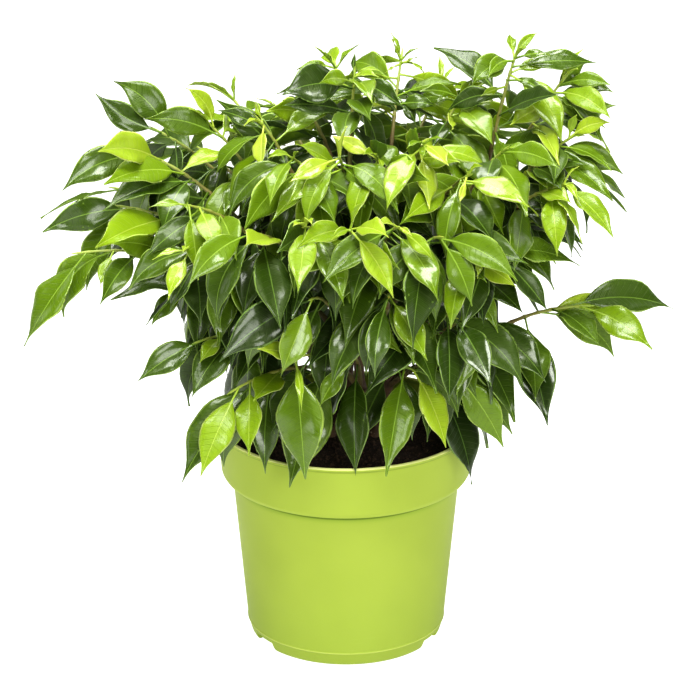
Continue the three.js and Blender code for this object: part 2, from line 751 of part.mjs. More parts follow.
// Point on the midrib at a share of the blade, with the directions along, across and out of its face.
function midribAt(leaf, t) {
  const { root, level, rise, curl, blade, petiole, twist, sweep } = leaf;
  const roll = leaf.roll + twist * t;
  const turned = rise - curl * t;
  const run = (Math.sin(rise) - Math.sin(turned)) / curl;
  const fall = (Math.cos(turned) - Math.cos(rise)) / curl;
  const flat = petiole * Math.cos(rise) + blade * run;
  const high = petiole * Math.sin(rise) + blade * fall;
  const along = [level[0] * Math.cos(turned), level[1] * Math.cos(turned), Math.sin(turned)];
  const up = [-level[0] * Math.sin(turned), -level[1] * Math.sin(turned), Math.cos(turned)];
  const over = cross(along, up);
  const face = add(scale(up, Math.cos(roll)), scale(over, Math.sin(roll)));
  const across = cross(face, along);
  const middle = [root[0] + level[0] * flat, root[1] + level[1] * flat, root[2] + high];
  return { point: add(middle, scale(across, sweep * t * t)), along, across, face };
}

// A leaf as a folded lens: three-sided petiole, then a ring of edge, rib, edge and underside at each
// station. The two faces are split alike, so that they don't meet where the blade waves.
function leafSolid(leaf, grown = 0) {
  const stations = leaf.blade < SMALL_LENGTH ? SMALL_STATIONS : STATIONS;
  const foot = midribAt(leaf, 0);
  const thin = PETIOLE_RADIUS + grown;
  const stalk = (point) => [
    add(point, add(scale(foot.across, thin), scale(foot.face, thin / 2))),
    add(point, add(scale(foot.across, -thin), scale(foot.face, thin / 2))),
    add(point, scale(foot.face, -thin)),
  ];
  const sunk = sub(sub(leaf.root, scale(foot.along, ROOT_DEPTH)), [0, 0, ROOT_SINK]);
  const neck = add(leaf.root, scale(foot.along, NECK_REACH));
  const points = [sunk, ...stalk(neck), ...stalk(foot.point)];
  const faces = [
    [0, 1, 3],
    [0, 3, 2],
    [0, 2, 1],
    [1, 2, 5],
    [1, 5, 4],
    [2, 3, 6],
    [2, 6, 5],
    [3, 1, 4],
    [3, 4, 6],
    [4, 5, 8],
    [4, 8, 7],
    [5, 9, 8],
    [4, 7, 10],
    [4, 10, 6],
    [5, 6, 10],
    [5, 10, 9],
  ];
  stations.forEach((t, i) => {
    const { point, across, face } = midribAt(leaf, t);
    const half = leaf.half * outlineAt(t);
    const wide = scale(across, half * Math.cos(leaf.fold) + grown);
    const lift = half * Math.sin(leaf.fold);
    const skew = leaf.wave * Math.sin(9 * t + leaf.phase);
    const thick = scale(face, LEAF_THICKNESS / 2 + grown);
    points.push(
      add(add(point, wide), scale(face, lift + skew)),
      add(point, thick),
      add(sub(point, wide), scale(face, lift - skew)),
      sub(point, thick),
    );
    const [left, rib, right, under] = [0, 1, 2, 3].map((k) => 7 + 4 * i + k);
    if (i + 1 < stations.length) {
      for (const [edge, middle, turned] of [
        [left, rib, false],
        [right, rib, true],
        [left, under, true],
        [right, under, false],
      ]) {
        const one = [edge, middle, middle + 4];
        const two = [edge, middle + 4, edge + 4];
        faces.push(...[one, two].map((face) => (turned ? [face[0], face[2], face[1]] : face)));
      }
    } else {
      const tip = under + 1;
      faces.push([left, rib, tip], [rib, right, tip], [right, under, tip], [under, left, tip]);
    }
  });
  points.push(midribAt(leaf, 1 + grown / leaf.blade).point);
  return { points, faces };
}

// Box and edges of a body, for the test of crossing.
function measured(body) {
  const low = [0, 1, 2].map((k) => Math.min(...body.points.map((p) => p[k])));
  const high = [0, 1, 2].map((k) => Math.max(...body.points.map((p) => p[k])));
  const edges = [];
  for (const face of body.faces) {
    for (let k = 0; k < 3; k++) {
      const [a, b] = [face[k], face[(k + 1) % 3]];
      if (a < b) edges.push([a, b]);
    }
  }
  return { ...body, low, high, edges };
}

function pierces(a, b, [p, q, r]) {
  const way = sub(b, a);
  const [u, v] = [sub(q, p), sub(r, p)];
  const h = cross(way, v);
  const d = dot(u, h);
  if (Math.abs(d) < 1e-9) return false;
  const s = sub(a, p);
  const x = dot(s, h) / d;
  if (x < 0 || x > 1) return false;
  const w = cross(s, u);
  const y = dot(way, w) / d;
  if (y < 0 || x + y > 1) return false;
  const t = dot(v, w) / d;
  return t >= 0 && t <= 1;
}

function crosses(one, two) {
  for (let k = 0; k < 3; k++) {
    if (one.low[k] > two.high[k] || two.low[k] > one.high[k]) return false;
  }
  const cut = (a, b) =>
    a.edges.some(([i, j]) =>
      b.faces.some((face) => pierces(a.points[i], a.points[j], face.map((n) => b.points[n]))),
    );
  return cut(one, two) || cut(two, one);
}

function clearOfRim(body) {
  return body.points.every(
    ([x, y, z]) => z > POT_HEIGHT + RIM_CLEARANCE || Math.hypot(x, y) > RIM_RADIUS + RIM_CLEARANCE,
  );
}

// Every spray: leaves are set one by one, those at the front first, each at its first attempt that is
// clear of all the rest.
function sprays(twigs, wood) {
  const fixed = twigs.map((twig) => ({ owner: twig, body: measured(twigSolid(twig)) }));
  const placed = wood.map((body) => ({ owner: null, body: measured(body) }));
  const leaves = new Map(twigs.map((twig) => [twig, []]));
  const turns = twigs.flatMap((twig) => Array.from({ length: twig.leaves }, (_, index) => ({ twig, index })));
  const isAimed = ({ twig, index }) => index in (AIMED[twig.name] ?? {});
  const order = [...turns.filter(isAimed), ...turns.filter((turn) => !isAimed(turn))];
  for (const { twig, index } of order) {
    for (let attempt = 0; attempt < ATTEMPTS; attempt++) {
      const leaf = leafOf(twig, index, attempt);
      const grown = measured(leafSolid(leaf, LEAF_CLEARANCE));
      const blocked =
        !clearOfRim(grown) ||
        fixed.some(({ owner, body }) => owner !== twig && crosses(grown, body)) ||
        placed.some(({ body }) => crosses(grown, body));
      if (blocked) continue;
      const body = leafSolid(leaf);
      placed.push({ owner: twig, body: measured(body) });
      leaves.get(twig).push(body);
      break;
    }
  }
  return leaves;
}

const twigs = SPRAYS.map(twigOf);
const wood = [];
for (const name of Object.keys(STEMS)) {
  const path = stemPath(name);
  wood.push(tube(path, path.map(() => STEM_RADIUS), 6));
  for (const twig of twigs.filter(({ stem }) => stem === name)) {
    const branch = branchPath(path, twig);
    wood.push(tube(branch, BRANCH_STEPS.map(() => BRANCH_RADIUS + GAP), BRANCH_SIDES));
  }
}

const plant = new THREE.Group();
plant.name = "weeping_fig";
plant.position.set(-CROWN_MIDDLE[0], -CROWN_MIDDLE[1], 0);
plant.add(meshOf("pot", pot(), "pot_plastic"));
plant.add(meshOf("soil", soil(), "soil"));
for (const name of Object.keys(STEMS)) {
  const own = twigs.filter(({ stem }) => stem === name);
  plant.add(meshOf("stem_" + name, stemSolid(name, own), "bark"));
}
for (const [twig, leaves] of sprays(twigs, wood)) {
  const solid = leaves.reduce((all, leaf) => all.add(solidFrom(leaf)), solidFrom(twigSolid(twig)));
  const slot = twig.youth > 0.6 ? "leaf_young" : twig.youth > 0.25 ? "leaf_mid" : "leaf_old";
  plant.add(meshOf("spray_" + twig.name, solid, slot));
}

export default plant;
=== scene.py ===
import json
import math
from collections import defaultdict

import bmesh
import bpy
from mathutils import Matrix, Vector, noise
from mathutils.bvhtree import BVHTree
from mathutils.kdtree import KDTree

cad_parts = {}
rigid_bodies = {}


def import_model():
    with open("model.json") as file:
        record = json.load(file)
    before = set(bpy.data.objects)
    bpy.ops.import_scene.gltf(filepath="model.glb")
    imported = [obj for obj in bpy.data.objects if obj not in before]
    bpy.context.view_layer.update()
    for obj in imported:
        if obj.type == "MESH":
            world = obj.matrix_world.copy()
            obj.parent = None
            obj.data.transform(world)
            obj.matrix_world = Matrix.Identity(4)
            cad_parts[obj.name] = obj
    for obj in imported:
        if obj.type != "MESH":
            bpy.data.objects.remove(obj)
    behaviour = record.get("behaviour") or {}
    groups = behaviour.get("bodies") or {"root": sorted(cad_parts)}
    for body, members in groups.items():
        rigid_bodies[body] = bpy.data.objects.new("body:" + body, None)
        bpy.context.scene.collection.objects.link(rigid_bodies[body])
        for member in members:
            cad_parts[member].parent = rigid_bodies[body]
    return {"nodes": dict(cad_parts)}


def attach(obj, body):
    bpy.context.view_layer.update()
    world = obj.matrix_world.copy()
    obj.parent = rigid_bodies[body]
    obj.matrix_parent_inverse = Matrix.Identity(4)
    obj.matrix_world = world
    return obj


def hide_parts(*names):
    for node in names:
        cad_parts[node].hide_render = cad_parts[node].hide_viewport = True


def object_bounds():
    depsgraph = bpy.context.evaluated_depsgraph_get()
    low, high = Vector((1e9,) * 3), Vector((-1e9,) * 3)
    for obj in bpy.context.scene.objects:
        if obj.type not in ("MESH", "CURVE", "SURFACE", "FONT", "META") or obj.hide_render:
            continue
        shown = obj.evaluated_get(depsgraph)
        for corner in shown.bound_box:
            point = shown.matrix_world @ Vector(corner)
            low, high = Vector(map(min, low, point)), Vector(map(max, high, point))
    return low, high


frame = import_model()
cad_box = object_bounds()

# ---------------------------------------------------------------- studio
# The plant stands on a plain white table in soft, even light. One softbox hangs in front of it, one
# high in front and one above its back, and three weak ones light it from the sides. The camera looks
# down a little.
PHOTO_WIDTH = 696
FOCAL_PIXELS = 3400
LOOK_DOWN = 21.3
CAMERA_AT = (-0.00164, -1.57807, 0.764)
LIGHTS_MEET = Vector((0, 0, 0.16))
WORLD_STRENGTH = 0.05
TABLE_HALF = 12
TABLE_GREY = 0.35
TABLE_GLOW = 0.85

lens = bpy.data.cameras.new("photo lens")
lens.sensor_width = 36
lens.lens = 36 * FOCAL_PIXELS / PHOTO_WIDTH
lens.clip_start = 0.05
camera = bpy.data.objects.new("camera", lens)
camera.location = CAMERA_AT
camera.rotation_euler = (math.radians(90 - LOOK_DOWN), 0, 0)
bpy.context.collection.objects.link(camera)
bpy.context.scene.camera = camera
bpy.context.scene.view_settings.view_transform = "Standard"
bpy.context.scene.view_settings.look = "Medium High Contrast"


def softbox(name, place, size, power):
    """A rectangular lamp, turned to the middle of the plant. Sizes in metres, power in watts."""
    light = bpy.data.lights.new(name, "AREA")
    light.shape = "RECTANGLE"
    light.size, light.size_y = size
    light.energy = power
    holder = bpy.data.objects.new(name, light)
    holder.location = place
    holder.rotation_euler = (LIGHTS_MEET - Vector(place)).to_track_quat("-Z", "Y").to_euler()
    bpy.context.collection.objects.link(holder)


softbox("front softbox", (0.5, -1.5, 0.8), (0.7, 0.7), 17)
softbox("high softbox", (-0.1, -0.6, 1.4), (0.8, 0.5), 25)
softbox("top softbox", (-0.2, 0.45, 1.4), (0.9, 0.6), 17)
softbox("left softbox", (-1.3, -0.8, 0.7), (0.4, 0.9), 4)
softbox("left rear softbox", (-1.1, 0.45, 0.8), (0.5, 1.0), 1.5)
softbox("right rear softbox", (1.1, 0.45, 0.8), (0.5, 1.0), 2.5)

room = bpy.data.worlds.new("white room")
room.use_nodes = True
background = room.node_tree.nodes["Background"]
background.inputs["Color"].default_value = (1, 1, 0.97, 1)
background.inputs["Strength"].default_value = WORLD_STRENGTH
bpy.context.scene.world = room

table = bpy.data.meshes.new("table top")
table_corners = [(x * TABLE_HALF, y * TABLE_HALF, 0) for x, y in ((-1, -1), (1, -1), (1, 1), (-1, 1))]
table.from_pydata(table_corners, [], [(0, 1, 2, 3)])
table_top = bpy.data.objects.new("table_top", table)
bpy.context.collection.objects.link(table_top)
white_board = bpy.data.materials.new("white board")
white_board.use_nodes = True
board = white_board.node_tree.nodes["Principled BSDF"]
board.inputs["Base Color"].default_value = (TABLE_GREY, TABLE_GREY, TABLE_GREY, 1)
board.inputs["Roughness"].default_value = 0.9
board.inputs["Emission Color"].default_value = (1, 1, 1, 1)
board.inputs["Emission Strength"].default_value = TABLE_GLOW
table.materials.append(white_board)

# ---------------------------------------------------------------- pot
# One piece of satin lime green plastic, moulded thin. It has a rolled lip, a tall rim band, a tapered
# body and a foot ring with three drainage notches, and drain holes through its raised floor.
MM = 0.001  # sizes are in mm from here on
POT_AXIS = Vector((-2.64, -7.07, 0))
RIM_RADIUS = 65
POT_HEIGHT = 114
BAND_BOTTOM = 86
BODY_TOP_RADIUS = 57
BODY_FOOT_RADIUS = 50
FOOT_RADIUS = 47
FOOT_HEIGHT = 7.5
WALL = 1.6
FLOOR_UNDERSIDE = 6
NOTCH_ANGLES = (-148, -28, 92)
NOTCH_WIDTH = 18
NOTCH_HEIGHT = 4.8
NOTCH_SLANT = 1.5
DRAIN_RING_RADIUS = 28
DRAIN_RADIUS = 4
DRAIN_COUNT = 5
POT_SEGMENTS = 160


class Wire:
    """An output of a node, which sums are written with."""

    def __init__(self, nodes, socket):
        self.nodes = nodes
        self.socket = socket

    def pick(self, name):
        return Wire(self.nodes, next(s for s in self.socket.node.outputs if s.enabled and s.name == name))

    def sum(self, operation, *values, clamp=False):
        return self.nodes.add("ShaderNodeMath", *values, operation=operation, use_clamp=clamp)

    def __add__(self, other):
        return self.sum("ADD", self, other)

    def __radd__(self, other):
        return self.sum("ADD", other, self)

    def __sub__(self, other):
        return self.sum("SUBTRACT", self, other)

    def __rsub__(self, other):
        return self.sum("SUBTRACT", other, self)

    def __mul__(self, other):
        return self.sum("MULTIPLY", self, other)

    def __rmul__(self, other):
        return self.sum("MULTIPLY", other, self)

    def __truediv__(self, other):
        return self.sum("DIVIDE", self, other)

    def __rtruediv__(self, other):
        return self.sum("DIVIDE", other, self)

    def __pow__(self, other):
        return self.sum("POWER", self, other)

    def __abs__(self):
        return self.sum("ABSOLUTE", self)

    def __neg__(self):
        return self.sum("MULTIPLY", self, -1)

    def sin(self):
        return self.sum("SINE", self)

    def cos(self):
        return self.sum("COSINE", self)

    def fract(self):
        return self.sum("FRACT", self)

    def at_least(self, other):
        return self.sum("MAXIMUM", self, other)

    def clamped(self):
        return self.sum("ADD", self, 0, clamp=True)

    def between(self, low, high):
        """0 below low, 1 above high, smooth between."""
        return self.nodes.add("ShaderNodeMapRange", self, low, high, 0, 1, interpolation_type="SMOOTHSTEP")


class Nodes:
    """A tree of nodes, filled by its method add."""

    def __init__(self, tree):
        self.tree = tree

    def add(self, kind, *values, sockets=None, stops=None, curve=None, **settings):
        """A node with its settings, and the values or links of its sockets, by order or by name."""
        node = self.tree.nodes.new(kind)
        for name, value in settings.items():
            setattr(node, name, value)
        if stops:
            ramp = node.color_ramp.elements
            while len(ramp) < len(stops):
                ramp.new(0.5)
            for stop, (place, colour) in zip(ramp, stops):
                stop.position = place
                stop.color = (*colour, 1)
        if curve:
            line = node.mapping.curves[0]
            while len(line.points) < len(curve):
                line.points.new(0.5, 0.5)
            for point, place in zip(line.points, curve):
                point.location = place
            node.mapping.update()
        enabled = [s for s in node.inputs if s.enabled]
        named = {s.name: s for s in reversed(enabled)}
        pairs = list(zip(enabled, values)) + [(named[k], v) for k, v in (sockets or {}).items()]
        for socket, value in pairs:
            if isinstance(value, Wire):
                self.tree.links.new(value.socket, socket)
            elif value is not None:
                socket.default_value = value
        return Wire(self, next((s for s in node.outputs if s.enabled), None))

    def mix(self, share, one, two, kind="RGBA"):
        values = [(*v, 1) if isinstance(v, tuple) and len(v) == 3 else v for v in (one, two)]
        return self.add("ShaderNodeMix", share, *values, data_type=kind)

    def ramp(self, share, *stops):
        return self.add("ShaderNodeValToRGB", share, stops=stops)

    def place(self):
        return self.add("ShaderNodeTexCoord").pick("Object")

    def carried(self, name, output="Fac"):
        """A value that the mesh carries."""
        return self.add("ShaderNodeAttribute", attribute_name=name).pick(output)

    def noise(self, place, scale, detail=3, roughness=0.5):
        values = {"Scale": scale, "Detail": detail, "Roughness": roughness}
        return self.add("ShaderNodeTexNoise", sockets={"Vector": place, **values})


def new_finish(name):
    """A material with an empty tree, and its gloss node added last by gloss()."""
    finish = bpy.data.materials.new(name)
    finish.use_nodes = True
    finish.node_tree.nodes.clear()
    return finish, Nodes(finish.node_tree)


def gloss(nodes, sockets):
    """Closes a finish with its surface."""
    surface = nodes.add("ShaderNodeBsdfPrincipled", sockets=sockets)
    nodes.add("ShaderNodeOutputMaterial", surface)


def bump(nodes, height, distance, strength=1.0):
    return nodes.add("ShaderNodeBump", sockets={"Height": height, "Distance": distance, "Strength": strength})


def dress(piece, finish=None, sharp=None):
    """Gives a piece its finish, and smooth faces but for edges sharper than an angle."""
    if finish:
        piece.data.materials.clear()
        piece.data.materials.append(finish)
    piece.data.shade_smooth()
    if sharp:
        piece.data.set_sharp_from_angle(angle=math.radians(sharp))


def piece_from(name, mesh, finish=None, sharp=None):
    """An object with its place in its mesh."""
    piece = bpy.data.objects.new(name, mesh)
    bpy.context.collection.objects.link(piece)
    dress(piece, finish, sharp)
    return piece


def moulded_lime():
    """Satin plastic with painted highlights at its lip and foot ridge, painted shadow under its lip and band,
    painted shade towards its foot, and wear near the table.
    """
    finish, n = new_finish("moulded lime plastic")
    place = n.place()
    cloud = n.noise(place, 22, 2)
    fine = n.noise(place, 900, 2)
    height = n.add("ShaderNodeSeparateXYZ", place).pick("Z")
    scuffs = n.noise(n.add("ShaderNodeMapping", place, sockets={"Scale": (60, 60, 900)}), 1, 4, 0.7)
    worn = scuffs.between(0.62, 0.8) * height.between(0.03, 0.0)
    # Painted highlight: the lip is paler where the light catches its top.
    lip = height.between((POT_HEIGHT - 1.0) * MM, (POT_HEIGHT - 0.6) * MM)
    # Painted shadow: a thin dark line just under the rolled lip.
    under_lip_shadow = abs(height - (POT_HEIGHT - 2.1) * MM).between(0.7 * MM, 0.3 * MM)
    wall = height.between((BAND_BOTTOM + 0.5) * MM, (BAND_BOTTOM + 0.1) * MM)
    # Painted shade on the body just under the band, where the band overhangs it.
    under_band_shade = height.between((BAND_BOTTOM - 8) * MM, (BAND_BOTTOM - 2) * MM) ** 3 * wall
    # Painted shadow: the dark line under the band's edge is shade, not a mould seam.
    band_shadow_line = height.between((BAND_BOTTOM - 2.8) * MM, (BAND_BOTTOM - 2.2) * MM) * wall
    # Painted shade: the wall is darker towards the foot.
    low = height.between(70 * MM, 5 * MM)
    # Painted highlight: a pale line along the ridge above the foot ring.
    ridge = abs(height - FOOT_HEIGHT * MM).between(0.35 * MM, 0.1 * MM)
    base = n.mix(cloud.between(0.3, 0.7), (0.3, 0.38, 0.055), (0.324, 0.408, 0.061))
    # Painted shade towards the foot.
    base = n.mix(low * 0.22, base, (0.18, 0.27, 0.04))
    base = n.mix(worn * 0.3, base, (0.42, 0.5, 0.16))
    # Painted shade under the band.
    base = n.mix(under_band_shade * 0.4, base, (0.14, 0.25, 0.02))
    # Painted shadow under the band's edge and under the lip.
    base = n.mix((band_shadow_line * 0.6 + under_lip_shadow * 0.3).clamped(), base, (0.05, 0.1, 0.01))
    # Painted highlight on the foot ridge.
    base = n.mix(ridge * 0.3, base, (0.75, 0.8, 0.25))
    # Painted highlight on the lip.
    base = n.mix(lip * 0.75, base, (0.85, 0.88, 0.36))
    gloss(
        n,
        {
            "Base Color": base,
            "Roughness": 0.46 + 0.08 * fine + 0.06 * cloud + 0.15 * worn,
            "Specular IOR Level": 0.1,
            "Specular Tint": (0.75, 1.0, 0.5, 1),
            "Subsurface Weight": 0.12,
            "Subsurface Radius": (1, 1, 0.3),
            "Subsurface Scale": 0.003,
            "Normal": bump(n, fine + 6 * n.noise(place, 60, 2), 0.00004, 0.5),
        },
    )
    return finish


def mesh_of(skin, name):
    mesh = bpy.data.meshes.new(name)
    skin.to_mesh(mesh)
    skin.free()
    return mesh


def turned(profile, segments):
    """A closed skin of a profile of (radius, height), turned round the axis of the pot."""
    skin = bmesh.new()
    rings = []
    for radius, height in profile:
        if radius == 0:
            rings.append([skin.verts.new(POT_AXIS + Vector((0, 0, height)))])
            continue
        angles = [2 * math.pi * k / segments for k in range(segments)]
        ring = [(radius * math.cos(a), radius * math.sin(a), height) for a in angles]
        rings.append([skin.verts.new(POT_AXIS + Vector(point)) for point in ring])
    for one, two in zip(rings, rings[1:]):
        for k in range(segments):
            j = (k + 1) % segments
            corners = [one[k % len(one)], one[j % len(one)], two[j % len(two)], two[k % len(two)]]
            skin.faces.new(list(dict.fromkeys(corners)))
    bmesh.ops.recalc_face_normals(skin, faces=skin.faces)
    bmesh.ops.scale(skin, vec=(MM, MM, MM), verts=skin.verts)
    return mesh_of(skin, "turned wall")


def rounded(corners, radius, steps=3):
    """The corners of a profile, each with a small arc in its place where it has room."""
    points = [corners[0]]
    for before, corner, after in zip(corners, corners[1:], corners[2:]):
        before, corner, after = Vector(before), Vector(corner), Vector(after)
        reach = min(radius, (before - corner).length * 0.45, (after - corner).length * 0.45)
        start = corner + (before - corner).normalized() * reach
        end = corner + (after - corner).normalized() * reach
        for i in range(steps + 1):
            t = i / steps
            points.append(tuple(start * (1 - t) ** 2 + corner * 2 * t * (1 - t) + end * t**2))
    return points + [corners[-1]]


def cut(piece, cutters):
    """Takes the cutters out of a piece."""
    tools = bpy.data.collections.new("cutters")
    for cutter in cutters:
        tools.objects.link(bpy.data.objects.new("cutter", cutter))
    change = piece.modifiers.new("cut", "BOOLEAN")
    change.operand_type = "COLLECTION"
    change.collection = tools
    change.solver = "EXACT"
    bpy.context.view_layer.update()
    mesh = bpy.data.meshes.new_from_object(piece.evaluated_get(bpy.context.evaluated_depsgraph_get()))
    piece.modifiers.clear()
    piece.data = mesh
    for cutter in list(tools.objects):
        bpy.data.objects.remove(cutter)
    bpy.data.collections.remove(tools)


def notch(angle):
    """A tapered block that opens the foot ring at an angle."""
    half, slant = NOTCH_WIDTH / 2, NOTCH_SLANT
    corners = [(-half, -1), (half, -1), (half - slant, NOTCH_HEIGHT), (-half + slant, NOTCH_HEIGHT)]
    block = bmesh.new()
    near = [block.verts.new((FOOT_RADIUS - 9, y, z)) for y, z in corners]
    far = [block.verts.new((FOOT_RADIUS + 5, y, z)) for y, z in corners]
    block.faces.new(near)
    block.faces.new(far)
    for k in range(4):
        block.faces.new([near[k], near[(k + 1) % 4], far[(k + 1) % 4], far[k]])
    bmesh.ops.recalc_face_normals(block, faces=block.faces)
    sine, cosine = math.sin(math.radians(angle)), math.cos(math.radians(angle))
    for vert in block.verts:
        x, y, z = vert.co
        vert.co = Vector((x * cosine - y * sine, x * sine + y * cosine, z))
        vert.co = (vert.co + POT_AXIS) * MM
    return mesh_of(block, "notch")


def drain(number):
    """A round plug for a hole in the floor: the first in its middle, the others in a ring."""
    ring = DRAIN_RING_RADIUS if number else 0
    angle = 2 * math.pi * (number + 0.25) / DRAIN_COUNT
    block = bmesh.new()
    radius = DRAIN_RADIUS * MM
    bmesh.ops.create_cone(block, cap_ends=True, segments=24, radius1=radius, radius2=radius, depth=8 * MM)
    centre = (POT_AXIS + Vector((ring * math.cos(angle), ring * math.sin(angle), floor_top))) * MM
    bmesh.ops.translate(block, verts=block.verts, vec=centre)
    return mesh_of(block, "drain")


floor_top = FLOOR_UNDERSIDE + WALL
pot_profile = rounded(
    [
        (0, FLOOR_UNDERSIDE),
        (FOOT_RADIUS - 2.2, FLOOR_UNDERSIDE - 0.4),
        (FOOT_RADIUS - 2, 0),
        (FOOT_RADIUS, 0),
        (FOOT_RADIUS + 1.3, 1.6),
        (BODY_FOOT_RADIUS - 0.3, FOOT_HEIGHT - 0.7),
        (BODY_FOOT_RADIUS + 0.15, FOOT_HEIGHT - 0.2),
        (BODY_FOOT_RADIUS + 0.15, FOOT_HEIGHT + 0.3),
        (BODY_FOOT_RADIUS - 0.05, FOOT_HEIGHT + 0.7),
        (BODY_TOP_RADIUS, BAND_BOTTOM - 0.3),
        (RIM_RADIUS - 4, BAND_BOTTOM),
        (RIM_RADIUS - 2.5, BAND_BOTTOM + 2.4),
        (RIM_RADIUS - 0.7, POT_HEIGHT - 2.2),
        (RIM_RADIUS, POT_HEIGHT - 1.5),
        (RIM_RADIUS, POT_HEIGHT - 0.6),
        (RIM_RADIUS - 0.9, POT_HEIGHT),
        (RIM_RADIUS - 1.9, POT_HEIGHT - 0.2),
        (RIM_RADIUS - 2.4, POT_HEIGHT - 3),
        (RIM_RADIUS - 4, BAND_BOTTOM + 4.4),
        (BODY_TOP_RADIUS - WALL, BAND_BOTTOM + 0.6),
        (BODY_FOOT_RADIUS - WALL, floor_top),
        (0, floor_top),
    ],
    0.8,
)
pot = piece_from("moulded_pot", turned(pot_profile, POT_SEGMENTS))
cut(pot, [notch(angle) for angle in NOTCH_ANGLES] + [drain(number) for number in range(DRAIN_COUNT + 1)])
dress(pot, moulded_lime(), 32)
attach(pot, "root")
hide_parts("pot")

# ---------------------------------------------------------------- soil
# Dark damp peat mix, pressed in a little below the lip. Its top is lumpy, with loose crumbs of peat
# and a few paler fibres and bits of bark on it.
SOIL_TOP = 103.5
SOIL_RINGS = 44
SOIL_SEGMENTS = 150
CRUMB_COUNT = 2600


def peat(name, low, high):
    """Rough dark soil between two colours, with pale specks."""
    finish, n = new_finish(name)
    place = n.place()
    coarse = n.noise(place, 260, 5, 0.7)
    fine = n.noise(place, 1500, 4, 0.7)
    specks = n.add("ShaderNodeTexVoronoi", sockets={"Vector": place, "Scale": 620.0})
    pale = specks.between(0.16, 0.05) * coarse.between(0.5, 0.62)
    base = n.mix((coarse * 0.6 + fine * 0.5).between(0.35, 0.75), low, high)
    base = n.mix(pale * 0.5, base, (0.16, 0.1, 0.055))
    gloss(
        n,
        {
            "Base Color": base,
            "Roughness": 0.95 - 0.3 * coarse.between(0.55, 0.75),
            "Specular IOR Level": 0.3,
            "Normal": bump(n, coarse + 0.4 * fine, 0.0011),
        },
    )
    return finish


def soil_height(x, y, radius):
    """Height of the top, in mm, which dips a little to the wall of the pot."""
    lumps = noise.noise(Vector((x, y, 3)) / 15) * 1.5 + noise.noise(Vector((x, y, 9)) / 5) * 0.8
    grains = noise.noise(Vector((x, y, 5)) / 1.9) * 0.55
    edge = max(0, radius - 48) / 14
    return SOIL_TOP + 1 - 0.02 * radius + lumps + grains - 1.6 * edge**2


soil_edge = RIM_RADIUS - 3.2
soil_rings = [
    (0, floor_top + 0.5),
    (BODY_FOOT_RADIUS - WALL - 0.7, floor_top + 0.5),
    (BODY_TOP_RADIUS - WALL - 0.6, BAND_BOTTOM + 1),
    (RIM_RADIUS - 4.8, BAND_BOTTOM + 5.6),
    (soil_edge, SOIL_TOP - 1.8),
]
soil_rings += [(soil_edge * (1 - (i + 1) / SOIL_RINGS), SOIL_TOP) for i in range(SOIL_RINGS - 1)]
soil_mesh = turned(soil_rings + [(0, SOIL_TOP)], SOIL_SEGMENTS)
for vert in soil_mesh.vertices:
    x, y, z = vert.co / MM - POT_AXIS
    if z > SOIL_TOP - 2:
        vert.co.z = soil_height(x, y, math.hypot(x, y)) * MM
damp_peat = peat("damp peat", (0.012, 0.0075, 0.005), (0.052, 0.032, 0.02))
soil_body = piece_from("soil_body", soil_mesh, damp_peat)
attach(soil_body, "root")
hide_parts("soil")


class Rule(Nodes):
    """A node group with named inputs that grows a mesh from a seed mesh."""

    def __init__(self, name, sockets):
        super().__init__(bpy.data.node_groups.new(name, "GeometryNodeTree"))
        interface = self.tree.interface
        for key, kind in {"Geometry": "Geometry", **sockets}.items():
            interface.new_socket(key, in_out="INPUT", socket_type="NodeSocket" + kind)
        interface.new_socket("Geometry", in_out="OUTPUT", socket_type="NodeSocketGeometry")
        self.inputs = {s.name: s.identifier for s in interface.items_tree if s.in_out == "INPUT"}
        self.given = self.add("NodeGroupInput")

    def drawn(self, low, high, seed, kind="FLOAT_VECTOR"):
        return self.add("FunctionNodeRandomValue", low, high, sockets={"Seed": seed}, data_type=kind)

    def covered(self, geometry, finish):
        """Geometry in the material that is given by name."""
        sockets = {"Geometry": geometry, "Material": self.given.pick(finish)}
        return self.add("GeometryNodeSetMaterial", sockets=sockets)

    def grown(self, name, seed_mesh, values):
        """The plain mesh that the rule makes from a seed mesh."""
        seed = bpy.data.objects.new(name, seed_mesh)
        bpy.context.collection.objects.link(seed)
        change = seed.modifiers.new("rule", "NODES")
        change.node_group = self.tree
        for key, value in values.items():
            change[self.inputs[key]] = value
        bpy.context.view_layer.update()
        depsgraph = bpy.context.evaluated_depsgraph_get()
        mesh = bpy.data.meshes.new_from_object(seed.evaluated_get(depsgraph), depsgraph=depsgraph)
        bpy.data.objects.remove(seed)
        return mesh


crumb_rule = Rule(
    "crumbs",
    {"Crumbs per square metre": "Float", "Smallest": "Float", "Largest": "Float", "Finish": "Material"},
)
n, given = crumb_rule, crumb_rule.given
ground = given.pick("Geometry")
height = n.add("ShaderNodeSeparateXYZ", n.add("GeometryNodeInputPosition")).pick("Z")
on_top = n.add("FunctionNodeCompare", height, (SOIL_TOP - 3.5) * MM, operation="GREATER_THAN")
density = given.pick("Crumbs per square metre")
scattered = n.add(
    "GeometryNodeDistributePointsOnFaces",
    sockets={"Mesh": ground, "Selection": on_top, "Density": density, "Seed": 31},
)
grain = n.add("GeometryNodeMeshIcoSphere", 1.0, 1)

